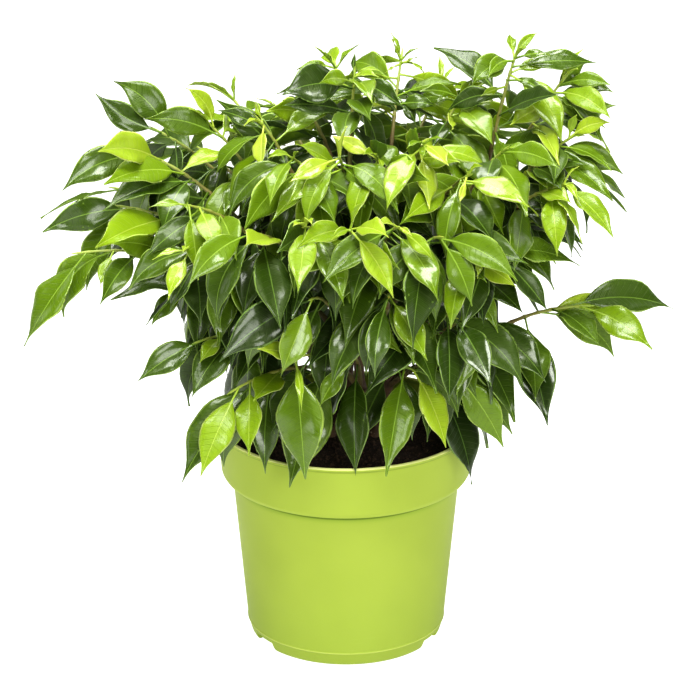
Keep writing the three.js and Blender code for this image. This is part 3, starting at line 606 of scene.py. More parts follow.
turn = n.drawn((0, 0, 0), (6.283, 6.283, 6.283), 5)
share = n.drawn(0.0, 1.0, 8, "FLOAT")
squash = n.drawn((0.6, 0.6, 0.4), (1.5, 1, 0.8), 2)
size = given.pick("Smallest") + (given.pick("Largest") - given.pick("Smallest")) * share**4
spread = n.add("ShaderNodeVectorMath", squash, sockets={"Scale": size}, operation="SCALE")
crumbs = n.add(
    "GeometryNodeInstanceOnPoints",
    sockets={"Points": scattered, "Instance": grain, "Rotation": turn, "Scale": spread},
)
crumbs = n.add("GeometryNodeRealizeInstances", crumbs)
crumbs = n.covered(crumbs, "Finish")
n.add("NodeGroupOutput", crumbs)

top_area = math.pi * (RIM_RADIUS * MM) ** 2
crumb_mesh = crumb_rule.grown(
    "crumb seed",
    soil_mesh.copy(),
    {
        "Crumbs per square metre": CRUMB_COUNT / top_area,
        "Smallest": 0.35 * MM,
        "Largest": 1.7 * MM,
        "Finish": peat("dry crumb", (0.03, 0.019, 0.012), (0.11, 0.07, 0.045)),
    },
)
crumb_piece = piece_from("soil_crumbs", crumb_mesh)
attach(crumb_piece, "root")

# ---------------------------------------------------------------- wood
# Four thin woody stems rooted in the soil, with the branches that carry the sprays. The bark is brown
# and smooth with pale pores, and turns green towards the ends. One stem has a knob where it was cut.
FOOT_Z = 70.5
STRAIGHT_Z = 108.5  # a stem goes straight up from its foot to here
STEM_RADIUS = 3.1
STEM_TIP_RADIUS = 1.7
BRANCH_RADIUS = 1.6
BRANCH_TIP_RADIUS = 1.05
KNOT_REACH = 3.2
WOOD_SIDES = 12
STEMS = {
    "left": [(-8, 3), (-11, 0, 132), (-20, -6, 160), (-32, -10, 186), (-43, -10, 208)],
    "centre": [(3, -6), (7, -8, 128), (5, -10, 165), (3, -6, 200), (4, -2, 232)],
    "right": [(15, 3), (20, 2, 130), (32, -4, 162), (46, -8, 192), (62, -6, 220)],
    "back": [(2, 14), (1, 20, 130), (4, 26, 165), (2, 30, 200), (6, 28, 226)],
}
CUT_STUB = {"stem": "centre", "from": (6, -8, 118), "to": (15, -13, 127), "radius": 3.3}
# Name, stem, base and tip of its twig, number of leaves, and youth from 0 (old) to 1 (just out)
SPRAYS = [
    ("crest_1", "centre", (-6, 12, 244), (-22, 24, 274), 6, 0.25),
    ("crest_2", "centre", (2, 4, 252), (4, 4, 290), 6, 0.4),
    ("crest_3", "centre", (22, 18, 248), (27, 36, 289), 5, 1.0),
    ("crest_4", "right", (41, 12, 245), (56, 18, 276), 6, 0.5),
    ("crest_5", "right", (69, 0, 247), (81, 2, 300), 7, 0.5),
    ("crest_6", "right", (80, 8, 243), (104, 8, 286), 7, 0.45),
    ("right_1", "right", (77, -10, 234), (107, -15, 265), 7, 0.5),
    ("right_2", "right", (76, -22, 228), (103, -45, 252), 5, 0.65),
    ("right_3", "right", (62, -16, 210), (88, -24, 226), 5, 0.0),
    ("right_4", "right", (54, -30, 204), (72, -65, 224), 5, 0.25),
    ("right_5", "right", (76, -19, 170), (114, -30, 185), 6, 0.2),
    ("top_1", "left", (-24, -6, 240), (-40, -8, 270), 6, 0.45),
    ("top_2", "centre", (-13, -20, 241), (-25, -45, 265), 5, 0.45),
    ("top_3", "centre", (0, -20, 241), (-3, -60, 270), 5, 0.85),
    ("top_4", "centre", (15, -20, 241), (15, -48, 266), 5, 0.5),
    ("top_5", "centre", (28, -20, 241), (37, -50, 274), 5, 0.8),
    ("top_6", "right", (43, -26, 232), (57, -62, 262), 5, 0.75),
    ("top_7", "right", (57, -18, 235), (74, -35, 265), 5, 0.4),
    ("left_1", "left", (-38, 5, 227), (-65, 10, 263), 6, 0.45),
    ("left_2", "left", (-48, 12, 223), (-91, 18, 258), 7, 0.1),
    ("left_3", "left", (-56, -6, 225), (-96, -8, 255), 7, 0.3),
    ("left_4", "left", (-47, -28, 221), (-75, -52, 244), 6, 0.6),
    ("left_5", "left", (-62, -14, 213), (-111, -12, 230), 6, 0.1),
    ("left_6", "left", (-66, -26, 204), (-126, -34, 214), 5, 0.35),
    ("left_7", "left", (-44, -36, 206), (-74, -65, 226), 5, 0.4),
    ("front_1", "left", (-24, -40, 214), (-44, -75, 238), 6, 0.15),
    ("front_2", "centre", (-9, -42, 218), (-19, -86, 245), 6, 0.4),
    ("front_3", "centre", (3, -42, 218), (2, -93, 246), 6, 0.75),
    ("front_4", "centre", (16, -42, 216), (24, -86, 245), 6, 0.4),
    ("front_5", "right", (32, -38, 212), (44, -80, 238), 6, 0.15),
    ("front_6", "right", (42, -34, 200), (62, -73, 224), 5, 0.65),
    ("low_1", "left", (-42, -22, 186), (-76, -34, 196), 6, 0.05),
    ("low_2", "left", (-26, -28, 170), (-68, -52, 176), 5, 0.15),
    ("low_3", "centre", (-6, -40, 186), (-16, -82, 208), 5, 0.05),
    ("low_4", "centre", (20, -40, 188), (20, -84, 210), 5, 0.3),
    ("low_5", "right", (38, -34, 176), (51, -74, 196), 5, 0.1),
    ("low_6", "right", (46, -24, 168), (62, -58, 188), 5, 0.25),
    ("skirt_1", "left", (-16, -32, 154), (-52, -70, 158), 7, 0.35),
    ("skirt_2", "centre", (-6, -34, 158), (-24, -78, 176), 3, 0.3),
    ("skirt_3", "centre", (6, -34, 156), (3, -76, 174), 3, 0.2),
    ("skirt_4", "centre", (20, -30, 150), (32, -70, 168), 4, 0.35),
    ("skirt_5", "right", (36, -20, 150), (50, -60, 164), 5, 0.2),
    ("back_1", "left", (-42, 40, 212), (-80, 82, 232), 5, 0.2),
    ("back_2", "back", (-15, 50, 225), (-35, 96, 246), 5, 0.4),
    ("back_3", "back", (15, 52, 226), (22, 102, 248), 5, 0.2),
    ("back_4", "back", (42, 46, 216), (70, 90, 236), 5, 0.5),
    ("back_5", "right", (68, 24, 214), (112, 50, 234), 5, 0.3),
    ("back_6", "left", (-62, 22, 205), (-114, 44, 220), 5, 0.25),
    ("back_7", "back", (-32, 40, 176), (-66, 80, 184), 5, 0.1),
    ("back_8", "back", (5, 48, 184), (0, 96, 200), 5, 0.3),
    ("back_9", "back", (42, 38, 180), (76, 76, 190), 5, 0.2),
    ("back_10", "back", (0, 36, 245), (-5, 66, 276), 5, 0.7),
    ("back_11", "back", (32, 40, 238), (48, 70, 266), 5, 0.5),
    ("back_12", "left", (-36, 30, 236), (-56, 58, 262), 5, 0.6),
]
TWIG_ARCH = 0.12
TWIG_GAP = 0.3
SHADE_FROM_Y = 10
SHADE_RANGE = 40


def mix(one, two, share):
    return one + (two - one) * share


def within(low, high, value):
    return min(high, max(low, value))


def arc(a, b, c, t):
    """Point at a share of the way along a curve from a to c that bends towards b."""
    return a * (1 - t) ** 2 + b * 2 * t * (1 - t) + c * t**2


def twig_of(number, row):
    """A spray's twig, which arches a little and starts just off its branch."""
    name, stem, base, tip, leaves, youth = row
    base, tip = Vector(base), Vector(tip)
    middle = (base + tip) / 2 + Vector((0, 0, TWIG_ARCH * (tip - base).length))
    toward = (middle - base).normalized()
    shade = within(0, 1, (tip.y - SHADE_FROM_Y) / SHADE_RANGE)
    return {
        "name": name, "number": number, "stem": stem, "base": base, "start": base + toward * TWIG_GAP,
        "middle": middle, "tip": tip, "toward": toward, "leaves": leaves, "youth": youth, "shade": shade,
    }


def stem_path(name):
    """A stem from its foot in the soil to its end."""
    foot, *rest = STEMS[name]
    return [Vector((*foot, FOOT_Z)), Vector((*foot, STRAIGHT_Z))] + [Vector(point) for point in rest]


def point_at_height(path, height):
    """Point of a stem at a height, above its straight foot."""
    z = min(height, path[-1].z - 3)
    i = 2
    while path[i + 1].z < z:
        i += 1
    return path[i].lerp(path[i + 1], max(0, (z - path[i].z) / (path[i + 1].z - path[i].z)))


def branch_bend(path, twig):
    """Root, bend and end of the branch that carries a spray."""
    base = twig["base"]
    beside = point_at_height(path, base.z)
    root = point_at_height(path, base.z - 0.7 * (base - beside).xy.length - 6)
    return root, base - twig["toward"] * 0.4 * (base - root).length, base


def smooth_path(points, steps):
    """Points on a smooth line through the given ones, with the share of the whole at each."""
    line = []
    for i in range(len(points) - 1):
        a, b = points[i], points[i + 1]
        before = points[i - 1] if i else a * 2 - b
        after = points[i + 2] if i + 2 < len(points) else b * 2 - a
        for k in range(steps):
            t = k / steps
            line.append(
                0.5 * (2 * a + (b - before) * t + (2 * before - 5 * a + 4 * b - after) * t * t
                       + (3 * a - before - 3 * b + after) * t**3)
            )
    line.append(points[-1])
    return [(point, i / (len(line) - 1)) for i, point in enumerate(line)]


def seed_of(name, paths, points=()):
    """A mesh of open paths of (place, attributes), in mm, and of single points."""
    mesh = bpy.data.meshes.new(name)
    places, edges, values = [], [], defaultdict(list)
    for path in [*paths, *([point] for point in points)]:
        for k, (place, given) in enumerate(path):
            if k:
                edges.append((len(places) - 1, len(places)))
            places.append((place + POT_AXIS) * MM)
            for key, value in given.items():
                values[key].append((len(places) - 1, value))
    mesh.from_pydata(places, edges, [])
    for key, pairs in values.items():
        is_vector = isinstance(pairs[0][1], Vector)
        layer = mesh.attributes.new(key, "FLOAT_VECTOR" if is_vector else "FLOAT", "POINT")
        for index, value in pairs:
            if is_vector:
                layer.data[index].vector = value
            else:
                layer.data[index].value = value
    return mesh


def wood_nodes(n, geometry, sides):
    """Round wood along the paths of a mesh, as thick as its attribute radius says."""
    path = n.add("GeometryNodeMeshToCurve", geometry)
    ring = n.add("GeometryNodeCurvePrimitiveCircle", sockets={"Resolution": sides, "Radius": 1.0})
    radius = n.add("GeometryNodeInputNamedAttribute", "radius", data_type="FLOAT")
    return n.add(
        "GeometryNodeCurveToMesh",
        sockets={"Curve": path, "Profile Curve": ring, "Scale": radius, "Fill Caps": True},
    )


def bark():
    """Brown bark with grain and pale pores, which turns green where the wood is young."""
    finish, n = new_finish("thin brown bark")
    place = n.place()
    green = n.carried("green")
    broad = n.noise(place, 90, 4, 0.6)
    grain = n.noise(n.add("ShaderNodeMapping", place, sockets={"Scale": (1, 1, 0.25)}), 700, 4, 0.65)
    pores = n.add("ShaderNodeTexVoronoi", sockets={"Vector": place, "Scale": 420.0}).between(0.28, 0.16)
    pores = pores * n.noise(place, 300, 1).between(0.45, 0.6)
    base = n.mix(broad.between(0.35, 0.65), (0.085, 0.045, 0.024), (0.2, 0.12, 0.066))
    base = n.mix(grain.between(0.5, 0.75) * 0.5, base, (0.3, 0.2, 0.12))
    base = n.mix(green * 0.9, base, n.mix(grain, (0.12, 0.14, 0.03), (0.24, 0.26, 0.06)))
    base = n.mix(pores * 0.6, base, (0.42, 0.33, 0.22))
    gloss(
        n,
        {
            "Base Color": base,
            "Roughness": 0.62 - 0.12 * green + 0.2 * (grain - 0.5),
            "Normal": bump(n, grain + 0.8 * pores + 0.6 * broad, 0.0004),
        },
    )
    return finish


thin_bark = bark()
wood_rule = Rule("wood along a path", {"Sides": "Int", "Finish": "Material"})
n, given = wood_rule, wood_rule.given
tubes = wood_nodes(n, given.pick("Geometry"), given.pick("Sides"))
tubes = n.add("GeometryNodeRealizeInstances", tubes)
tubes = n.covered(tubes, "Finish")
n.add("NodeGroupOutput", tubes)


def trunk_of(path, roots):
    """A stem with a swollen foot, and a knot at the root of each branch."""
    line = []
    for point, share in smooth_path(path, 10):
        knots = sum(math.exp(-(((point - root).length / KNOT_REACH) ** 2)) for root in roots)
        flare = 1.6 * math.exp(-max(0, point.z - SOIL_TOP) / 3.5)
        radius = mix(STEM_RADIUS, STEM_TIP_RADIUS, max(0, (share - 0.2) / 0.8))
        radius = radius + flare + 0.45 * min(1.4, knots) + 0.25 * noise.noise(point / 6)
        line.append((point, {"radius": radius * MM, "green": max(0.0, share - 0.55)}))
    return line


def branch_of(root, bend, end):
    """A branch with a collar where it leaves the stem."""
    line = []
    for k in range(13):
        t = k / 12
        point = arc(root, bend, end, t)
        collar = 0.9 * math.exp(-t * 9)
        radius = mix(BRANCH_RADIUS, BRANCH_TIP_RADIUS, t) + collar + 0.12 * noise.noise(point / 3)
        line.append((point, {"radius": radius * MM, "green": 0.15 + 0.85 * t}))
    return line


def stub_of(start, end, radius):
    """The cut end of a stem, thickest at its knob."""
    swell = [(0, 1.0), (0.25, 0.86), (0.5, 0.84), (0.75, 1.0), (0.9, 1.12), (0.97, 1.05), (1, 0.85)]
    return [(start.lerp(end, t), {"radius": radius * s * MM, "green": 0.0}) for t, s in swell]


twigs = [twig_of(number, row) for number, row in enumerate(SPRAYS)]
for stem in STEMS:
    path = stem_path(stem)
    own = [branch_bend(path, twig) for twig in twigs if twig["stem"] == stem]
    lines = [trunk_of(path, [root for root, _, _ in own])] + [branch_of(*branch) for branch in own]
    if CUT_STUB["stem"] == stem:
        lines.append(stub_of(Vector(CUT_STUB["from"]), Vector(CUT_STUB["to"]), CUT_STUB["radius"]))
    values = {"Sides": WOOD_SIDES, "Finish": thin_bark}
    wood_mesh = wood_rule.grown("stem seed", seed_of("stem seed", lines), values)
    wood = piece_from("wood_" + stem, wood_mesh, sharp=50)
    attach(wood, "root")
    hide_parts("stem_" + stem)

# ---------------------------------------------------------------- sprays
# Leafy sprays: green twigs that end in a pointed bud, with glossy leaves on short stalks. Each blade is
# folded along its pale midrib, curls down, waves at its edges and ends in a drip tip. Old leaves are
# dark, and the youngest are lime green.
# Leaves with a place of their own: number on the twig, then tip in mm, bend in degrees, breadth, and
# tone from 0 (dark) to 1 (lime green)
AIMED = {
    "crest_1": {3: (-38, 5, 267, 30, 1, 0.75), 5: (-31, 18, 272, 40, 1.1, 0.12)},
    "crest_2": {
        2: (-31, -8, 280, 15, 1.2, 0.1), 4: (-11, 5, 289, 15, 1, 0.7),
        5: (26, -5, 275, 10, 1, 0.2),
    },
    "crest_3": {1: (5, -10, 275, 30, 1.05, 0.9), 4: (39, 20, 284, 45, 1, 0.7)},
    "crest_4": {
        1: (39, -30, 252, 20, 1.1, 0.85), 3: (50, -5, 267, 20, 1, 0.85),
        4: (64, 15, 286, 10, 1, 0.7), 5: (35, 10, 279, 35, 1, 0.45),
    },
    "crest_5": {
        1: (80, -35, 246, 15, 1, 0.45), 4: (65, -5, 282, 20, 1, 0.75),
        5: (99, 5, 295, 30, 1, 0.6), 6: (66, -15, 293, 50, 1.05, 0.5),
    },
    "crest_6": {
        3: (123, -5, 260, 30, 1, 0.2), 4: (80, -20, 271, 15, 1.1, 0.85),
        5: (120, 20, 290, 40, 1, 0.45), 6: (128, 0, 283, 45, 1, 0.5),
    },
    "right_1": {
        1: (96, -45, 247, 30, 1, 0.7), 2: (106, -55, 246, 25, 1, 0.3),
        3: (115, -30, 252, 30, 1, 0.3), 4: (125, -35, 237, 30, 1, 0.45),
        5: (127, -25, 247, 40, 1, 0.5), 6: (128, -25, 274, 40, 1, 0.85),
    },
    "right_2": {0: (113, -40, 218, 30, 1.05, 0.1), 2: (105, -64, 245, 30, 1.05, 0.75)},
    "right_3": {
        0: (76, -50, 195, 25, 1, 0.2), 1: (89, -32, 198, 25, 1, 0.25),
        2: (98, -45, 196, 35, 1, 0.35), 3: (97, -36, 207, 25, 1, 0.15),
        4: (93, -40, 214, 20, 1, 0.08),
    },
    "right_4": {0: (83, -66, 191, 25, 1, 0.15), 4: (93, -70, 195, 20, 1, 0.1)},
    "right_5": {
        1: (93, -60, 146, 20, 1.1, 0.35), 2: (138, -15, 169, 30, 0.95, 0.85),
        3: (120, -60, 172, 35, 1.05, 0.35), 4: (160, -15, 172, 40, 1, 0.2),
        5: (147, -50, 168, 30, 1, 0.6),
    },
    "top_1": {
        0: (-38, -55, 239, 25, 1.1, 0.65), 2: (-29, -20, 251, 25, 1.05, 0.12),
        4: (-63, -5, 272, 35, 1, 0.2), 5: (-41, -30, 252, 30, 1.1, 0.95),
    },
    "top_2": {0: (-27, -50, 246, 20, 1, 0.12)},
    "top_3": {2: (8, -65, 253, 30, 1, 0.5), 4: (-26, -70, 260, 20, 1.15, 0.85)},
    "top_4": {3: (20, -50, 256, 15, 1, 1), 4: (-7, -45, 274, 15, 1, 0.95)},
    "top_5": {0: (22, -50, 240, 25, 1.1, 0.75), 3: (40, -70, 247, 15, 1.05, 0.9)},
    "top_6": {1: (70, -80, 230, 30, 1.15, 0.15), 4: (53, -70, 251, 10, 1.1, 1)},
    "top_7": {1: (72, -60, 230, 20, 1, 0.55), 2: (79, -45, 251, 20, 1, 0.3)},
    "left_1": {
        1: (-59, -20, 225, 35, 1.05, 0.4), 3: (-78, -15, 244, 35, 1, 0.8),
        4: (-99, 0, 269, 30, 1.05, 0.35), 5: (-80, 5, 283, 45, 1, 0.85),
    },
    "left_2": {5: (-81, -5, 238, 30, 1.05, 0.08), 6: (-122, 15, 279, -20, 1, 0.2)},
    "left_3": {
        2: (-116, -40, 232, 40, 1, 0.25), 3: (-115, -45, 247, 35, 1, 0.6),
        5: (-117, -45, 261, 25, 1.05, 0.84), 6: (-136, -25, 238, 45, 1, 0.3),
    },
    "left_4": {
        0: (-71, -60, 218, 30, 1.05, 0.5), 3: (-92, -60, 217, 30, 1, 0.2),
        5: (-71, -70, 216, 15, 1, 0.6),
    },
    "left_5": {
        2: (-116, -60, 220, 25, 1.1, 0.74), 3: (-105, -30, 206, 30, 1, 0.3),
        4: (-146, -25, 218, 30, 1.05, 0.2),
    },
    "left_6": {
        0: (-67, -66, 186, 30, 1, 0.1), 1: (-112, -60, 225, 30, 1, 0.55),
        2: (-117, -62, 196, 25, 1, 0.3), 3: (-117, -50, 201, 20, 0.95, 0.7),
        4: (-153, -44, 168, 15, 1.1, 0.45),
    },
    "left_7": {
        0: (-57, -66, 182, 25, 1, 0.1), 2: (-59, -70, 192, 20, 1.05, 0.12),
        3: (-81, -75, 196, 25, 1, 0.15), 4: (-84, -85, 208, 20, 1, 0.8),
    },
    "front_1": {2: (-44, -100, 238, 15, 1.05, 0.85), 3: (-49, -78, 197, 20, 1.15, 0.1)},
    "front_2": {
        0: (3, -80, 204, 25, 1, 0.4), 1: (-20, -85, 193, 30, 1.1, 0.08),
        4: (-16, -95, 231, 20, 1.05, 0.5),
    },
    "front_3": {2: (25, -90, 224, 20, 1, 0.6), 5: (19, -105, 215, 35, 1.1, 0.8)},
    "front_4": {5: (40, -95, 231, 20, 1, 0.7)},
    "front_5": {1: (39, -75, 196, 20, 1, 0.08), 5: (59, -90, 207, 20, 1.05, 0.45)},
    "front_6": {3: (80, -85, 214, 20, 1.1, 0.85)},
    "low_1": {1: (-81, -35, 188, 25, 1, 0.19), 5: (-92, -40, 177, 35, 1, 0.37)},
    "low_2": {
        1: (-50, -60, 154, 25, 1.05, 0.15), 2: (-74, -70, 151, 30, 1.05, 0.22),
        3: (-70, -65, 168, 20, 1.1, 0.72), 4: (-98, -65, 157, 25, 1.05, 0.25),
    },
    "low_3": {
        0: (-11, -62, 147, 30, 1, 0.17), 1: (25, -72, 173, 25, 1.05, 0.62),
        2: (-22, -85, 178, 20, 1.05, 0.17), 4: (-28, -95, 173, 15, 1.1, 0.57),
    },
    "low_4": {3: (35, -95, 180, 25, 1.05, 0.62)},
    "low_5": {0: (59, -75, 149, 25, 1, 0.42)},
    "low_6": {4: (55, -75, 156, 25, 1.1, 0.52)},
    "skirt_1": {
        1: (-29, -58, 119, 20, 1.05, 0.17), 2: (-42, -86, 156, 15, 1.1, 0.67),
        3: (-41, -70, 114, 15, 0.95, 0.19), 4: (-77, -84, 113, 25, 1, 0.27),
        5: (-46, -90, 131, 15, 1.05, 0.67), 6: (-67, -95, 122, 20, 1.05, 0.7),
    },
    "skirt_2": {
        0: (-27, -72, 106, 15, 1.15, 0.32), 1: (-36, -62, 127, 20, 1, 0.15),
        2: (-21, -92, 121, 20, 1.2, 0.4),
    },
    "skirt_3": {
        0: (1, -60, 113, 20, 1, 0.15), 1: (-8, -42, 122, 20, 1.05, 0.13),
        2: (-11, -80, 152, 25, 1.05, 0.47),
    },
    "skirt_4": {
        0: (13, -50, 111, 20, 1, 0.12), 1: (31, -55, 125, 25, 1.05, 0.27),
        2: (21, -85, 118, 25, 1.05, 0.42), 3: (48, -80, 132, 15, 1.1, 0.82),
    },
    "skirt_5": {
        1: (41, -50, 122, 15, 0.95, 0.27), 3: (77, -50, 123, 30, 1, 0.37),
        4: (74, -62, 123, 20, 1.1, 0.52),
    },
}
# How a blade grows, from an old spray to a young one, in mm and degrees
OLD_LENGTH = 53
YOUNG_LENGTH = 32
OLD_SLENDERNESS = 0.425
YOUNG_SLENDERNESS = 0.36
OLD_BEND = 48
YOUNG_BEND = 26
PETIOLE_LEAST = 2.5
PETIOLE_SHARE = 0.15
SWEEP_MOST = 3.5
BLADE_RANGE = (0.88, 1.1)
WIDTH_RANGE = (0.92, 1.08)
BEND_RANGE = (0.5, 1.4)
FOLD_RANGE = (5, 20)
WAVE_RANGE = (0.3, 1.1)
WAVE_BLADE = 50
# Where it grows on its twig, which way it heads and how it hangs there
FIRST_AT = 0.12
LAST_AT = 0.97
SIZE_ALONG = (1.04, 0.8)
LAST_SIZE = 0.74
CLIMBING_FROM = 0.85
SIDE_SPREAD = 66
CLIMBING_SPREAD = 95
END_SPREAD = 24
HEADING_RANGE = 66
HANG_HIGH = 20
HANG_LOW = 50
HANG_SPREAD = 44
HANG_TOP_Z = 250
HANG_RANGE = 95
YOUNG_LIFT = 22
CLIMB_SHARE = 0.35
STEEPEST_TIP = math.radians(88)
LEAST_CURL = 0.05
OUTWARD = 0.3
# How its face turns to the light
LIGHT_SIDE = Vector((0, -0.5, 0))
LIGHT_HEIGHT = 1.1
LIGHT_FRONT = 4
LIGHT_PULL = 0.7
AIMED_PULL = 0.95
FACE_AT = 0.4
ROLL_RANGE = 56
ROLL_MOST = math.radians(80)
TWIST_MOST = 30
# A leaf that does not fit is tried again, each time a little shorter and more loosely turned
ATTEMPTS = 16
LOOSER = 0.16
SHORTER = 0.018
AIMED_LONGEST = 56
AIM_LOOSER = 1.6
AIM_RISE = 0.56
AIM_LEAN = 0.6
TIP_MATCH = 0.08
# Half width of a blade at a share of its length, with a long drip tip
OUTLINE = [
    (0, 0.05), (0.07, 0.32), (0.16, 0.62), (0.28, 0.88), (0.4, 1), (0.51, 0.97), (0.61, 0.83),
    (0.7, 0.6), (0.78, 0.37), (0.85, 0.2), (0.92, 0.09), (1, 0.02),
]


def draws(seed):
    """Draws between 0 and 1 that a seed fixes."""
    state = seed
    while True:
        state = state * 48271 % 2147483647
        yield state / 2147483647


def draws_from(seed):
    """Gives the draws of a seed one by one, but for the first two."""
    stream = draws(seed)
    next(stream)
    next(stream)
    return lambda: next(stream)


def roll_to(light, level, rise, pull):
    """Roll that turns the face of a leaf part of the way to the light."""
    up = Vector((-level.x * math.sin(rise), -level.y * math.sin(rise), math.cos(rise)))
    over = Vector((level.y, -level.x, 0))
    roll = pull * math.atan2(light.dot(over), light.dot(up))
    return within(-ROLL_MOST, ROLL_MOST, roll)


def faced(leaf, light, pull, lean):
    """A leaf with its face turned to the light, and leaning by a share of its own lean."""
    roll = roll_to(light, leaf["level"], leaf["rise"] - FACE_AT * leaf["curl"], pull)
    return {**leaf, "roll": roll + lean * leaf["lean"]}


def leaf_at(twig, draw, attempt, root, along, spread, size, aimed=None):
    """A leaf that grows from a point of a twig or branch and hangs to the light, or to its aim."""
    loosen = 1 + attempt * LOOSER
    turn = spread + (draw() - 0.5) * HEADING_RANGE * loosen
    heading = math.atan2(along.y, along.x) + math.radians(turn)
    away = math.hypot(root.x, root.y) or 1
    outward = Vector((root.x / away, root.y / away, 0))
    lit = outward * OUTWARD + LIGHT_SIDE * (1 - twig["shade"])
    light = outward + LIGHT_SIDE * LIGHT_FRONT * (1 - twig["shade"]) + Vector((0, 0, LIGHT_HEIGHT))
    level = (Vector((math.cos(heading), math.sin(heading), 0)) + lit).normalized()
    low = within(0, 1, (HANG_TOP_Z - root.z) / HANG_RANGE)
    hang = math.radians(mix(HANG_HIGH, HANG_LOW, low) - YOUNG_LIFT * twig["youth"])
    rise = CLIMB_SHARE * math.asin(along.z) - hang + (draw() - 0.5) * math.radians(HANG_SPREAD) * loosen
    blade = size * mix(*BLADE_RANGE, draw()) * (1 - SHORTER * attempt)
    slender = mix(OLD_SLENDERNESS, YOUNG_SLENDERNESS, twig["youth"]) * mix(*WIDTH_RANGE, draw())
    bend = math.radians(mix(OLD_BEND, YOUNG_BEND, twig["youth"]) * mix(*BEND_RANGE, draw()))
    leaf = {
        "root": root,
        "level": level,
        "rise": rise,
        "curl": max(LEAST_CURL, min(bend, rise + STEEPEST_TIP)),
        "blade": blade,
        "petiole": PETIOLE_LEAST + PETIOLE_SHARE * blade,
        "half": blade * slender / 2,
        "lean": (draw() - 0.5) * math.radians(ROLL_RANGE) * loosen,
        "fold": math.radians(mix(*FOLD_RANGE, draw())),
        "wave": mix(*WAVE_RANGE, draw()) * blade / WAVE_BLADE,
        "phase": draw() * 2 * math.pi,
        "twist": (2 * draw() - 1) * math.radians(TWIST_MOST),
        "sweep": (2 * draw() - 1) * SWEEP_MOST * blade / OLD_LENGTH,
    }
    if aimed:
        leaf = aim(leaf, aimed, attempt, draw)
    return faced(leaf, light.normalized(), AIMED_PULL if aimed else LIGHT_PULL, 1)


def aim(leaf, aimed, attempt, draw):
    """A leaf turned and sized so that its tip comes to a place. The arc to it is longer than the chord."""
    *tip, bend, breadth, _ = aimed
    target = Vector([c + AIM_LOOSER * attempt * (draw() - 0.5) for c in tip])
    way = target - leaf["root"]
    flat = way.xy.length
    curl = math.radians(bend)
    reach = way.length * (1 + curl * curl / 30)
    blade = min(AIMED_LONGEST, (reach - PETIOLE_LEAST) / (1 + PETIOLE_SHARE))
    half = leaf["half"] * breadth * blade / leaf["blade"]
    return {
        **leaf,
        "level": Vector((way.x / flat, way.y / flat, 0)),
        "rise": math.atan2(way.z, flat) + AIM_RISE * curl,
        "curl": curl,
        "blade": blade,
        "petiole": reach - blade,
        "half": half,
        "lean": AIM_LEAN * leaf["lean"],
    }


def tangent(a, b, c, t):
    """Direction of an arc at a share of its way."""
    return ((b - a) * (1 - t) + (c - b) * t).normalized()


def leaf_of(twig, index, attempt):
    """A leaf of the part's own rule. A later attempt turns it further from its first place."""
    draw = draws_from(1 + twig["number"] * 7919 + index * 271 + attempt * 33)
    last = index == twig["leaves"] - 1
    share = index / (twig["leaves"] - 1)
    at = mix(FIRST_AT, LAST_AT, share)
    line = twig["start"], twig["middle"], twig["tip"]
    along = tangent(*line, at)
    side = 1 if (index + twig["number"]) % 2 else -1
    spread = CLIMBING_SPREAD if math.asin(along.z) > CLIMBING_FROM else SIDE_SPREAD
    spread = END_SPREAD if last else spread
    size = mix(OLD_LENGTH, YOUNG_LENGTH, twig["youth"]) * (LAST_SIZE if last else mix(*SIZE_ALONG, share))
    aimed = AIMED.get(twig["name"], {}).get(index)
    return leaf_at(twig, draw, attempt, arc(*line, at), along, side * spread, size, aimed)


def midrib_at(leaf, t):
    """Point on the midrib at a share of the blade, and the directions across and out of its face."""
    rise, curl, level = leaf["rise"], leaf["curl"], leaf["level"]
    roll = leaf["roll"] + leaf["twist"] * t
    turned_to = rise - curl * t
    run = (math.sin(rise) - math.sin(turned_to)) / curl
    fall = (math.cos(turned_to) - math.cos(rise)) / curl
    flat = leaf["petiole"] * math.cos(rise) + leaf["blade"] * run
    high = leaf["petiole"] * math.sin(rise) + leaf["blade"] * fall
    along = level * math.cos(turned_to) + Vector((0, 0, math.sin(turned_to)))
    up = -level * math.sin(turned_to) + Vector((0, 0, math.cos(turned_to)))
    face = up * math.cos(roll) + along.cross(up) * math.sin(roll)
    across = face.cross(along)
    middle = leaf["root"] + level * flat + Vector((0, 0, high))
    return middle + across * leaf["sweep"] * t * t, across, face


def solid_leaves(twig):
    """The leaves that the part has: each is the attempt whose tip is a point of the spray's solid."""
    node = frame["nodes"]["spray_" + twig["name"]]
    tips = KDTree(len(node.data.vertices))
    for k, vert in enumerate(node.data.vertices):
        tips.insert(vert.co / MM - POT_AXIS, k)
    tips.balance()
    draw = draws_from(5000 + twig["number"] * 37)
    found = []
    for index in range(twig["leaves"]):
        for attempt in range(ATTEMPTS):
            leaf = leaf_of(twig, index, attempt)
            if tips.find(midrib_at(leaf, 1)[0])[2] < TIP_MATCH:
                aimed = AIMED.get(twig["name"], {}).get(index)
                leaf["tone"] = aimed[-1] if aimed else tone_of(twig, index / (twig["leaves"] - 1), draw)
                found.append(leaf)
                break
    return found


def tone_of(twig, share, draw):
    """How young a leaf looks, from 0 for dark to 1 for lime green."""
    return within(0.0, 1.0, 0.07 + 0.62 * twig["youth"] + 0.3 * (share - 0.5) + 0.42 * (draw() - 0.5))


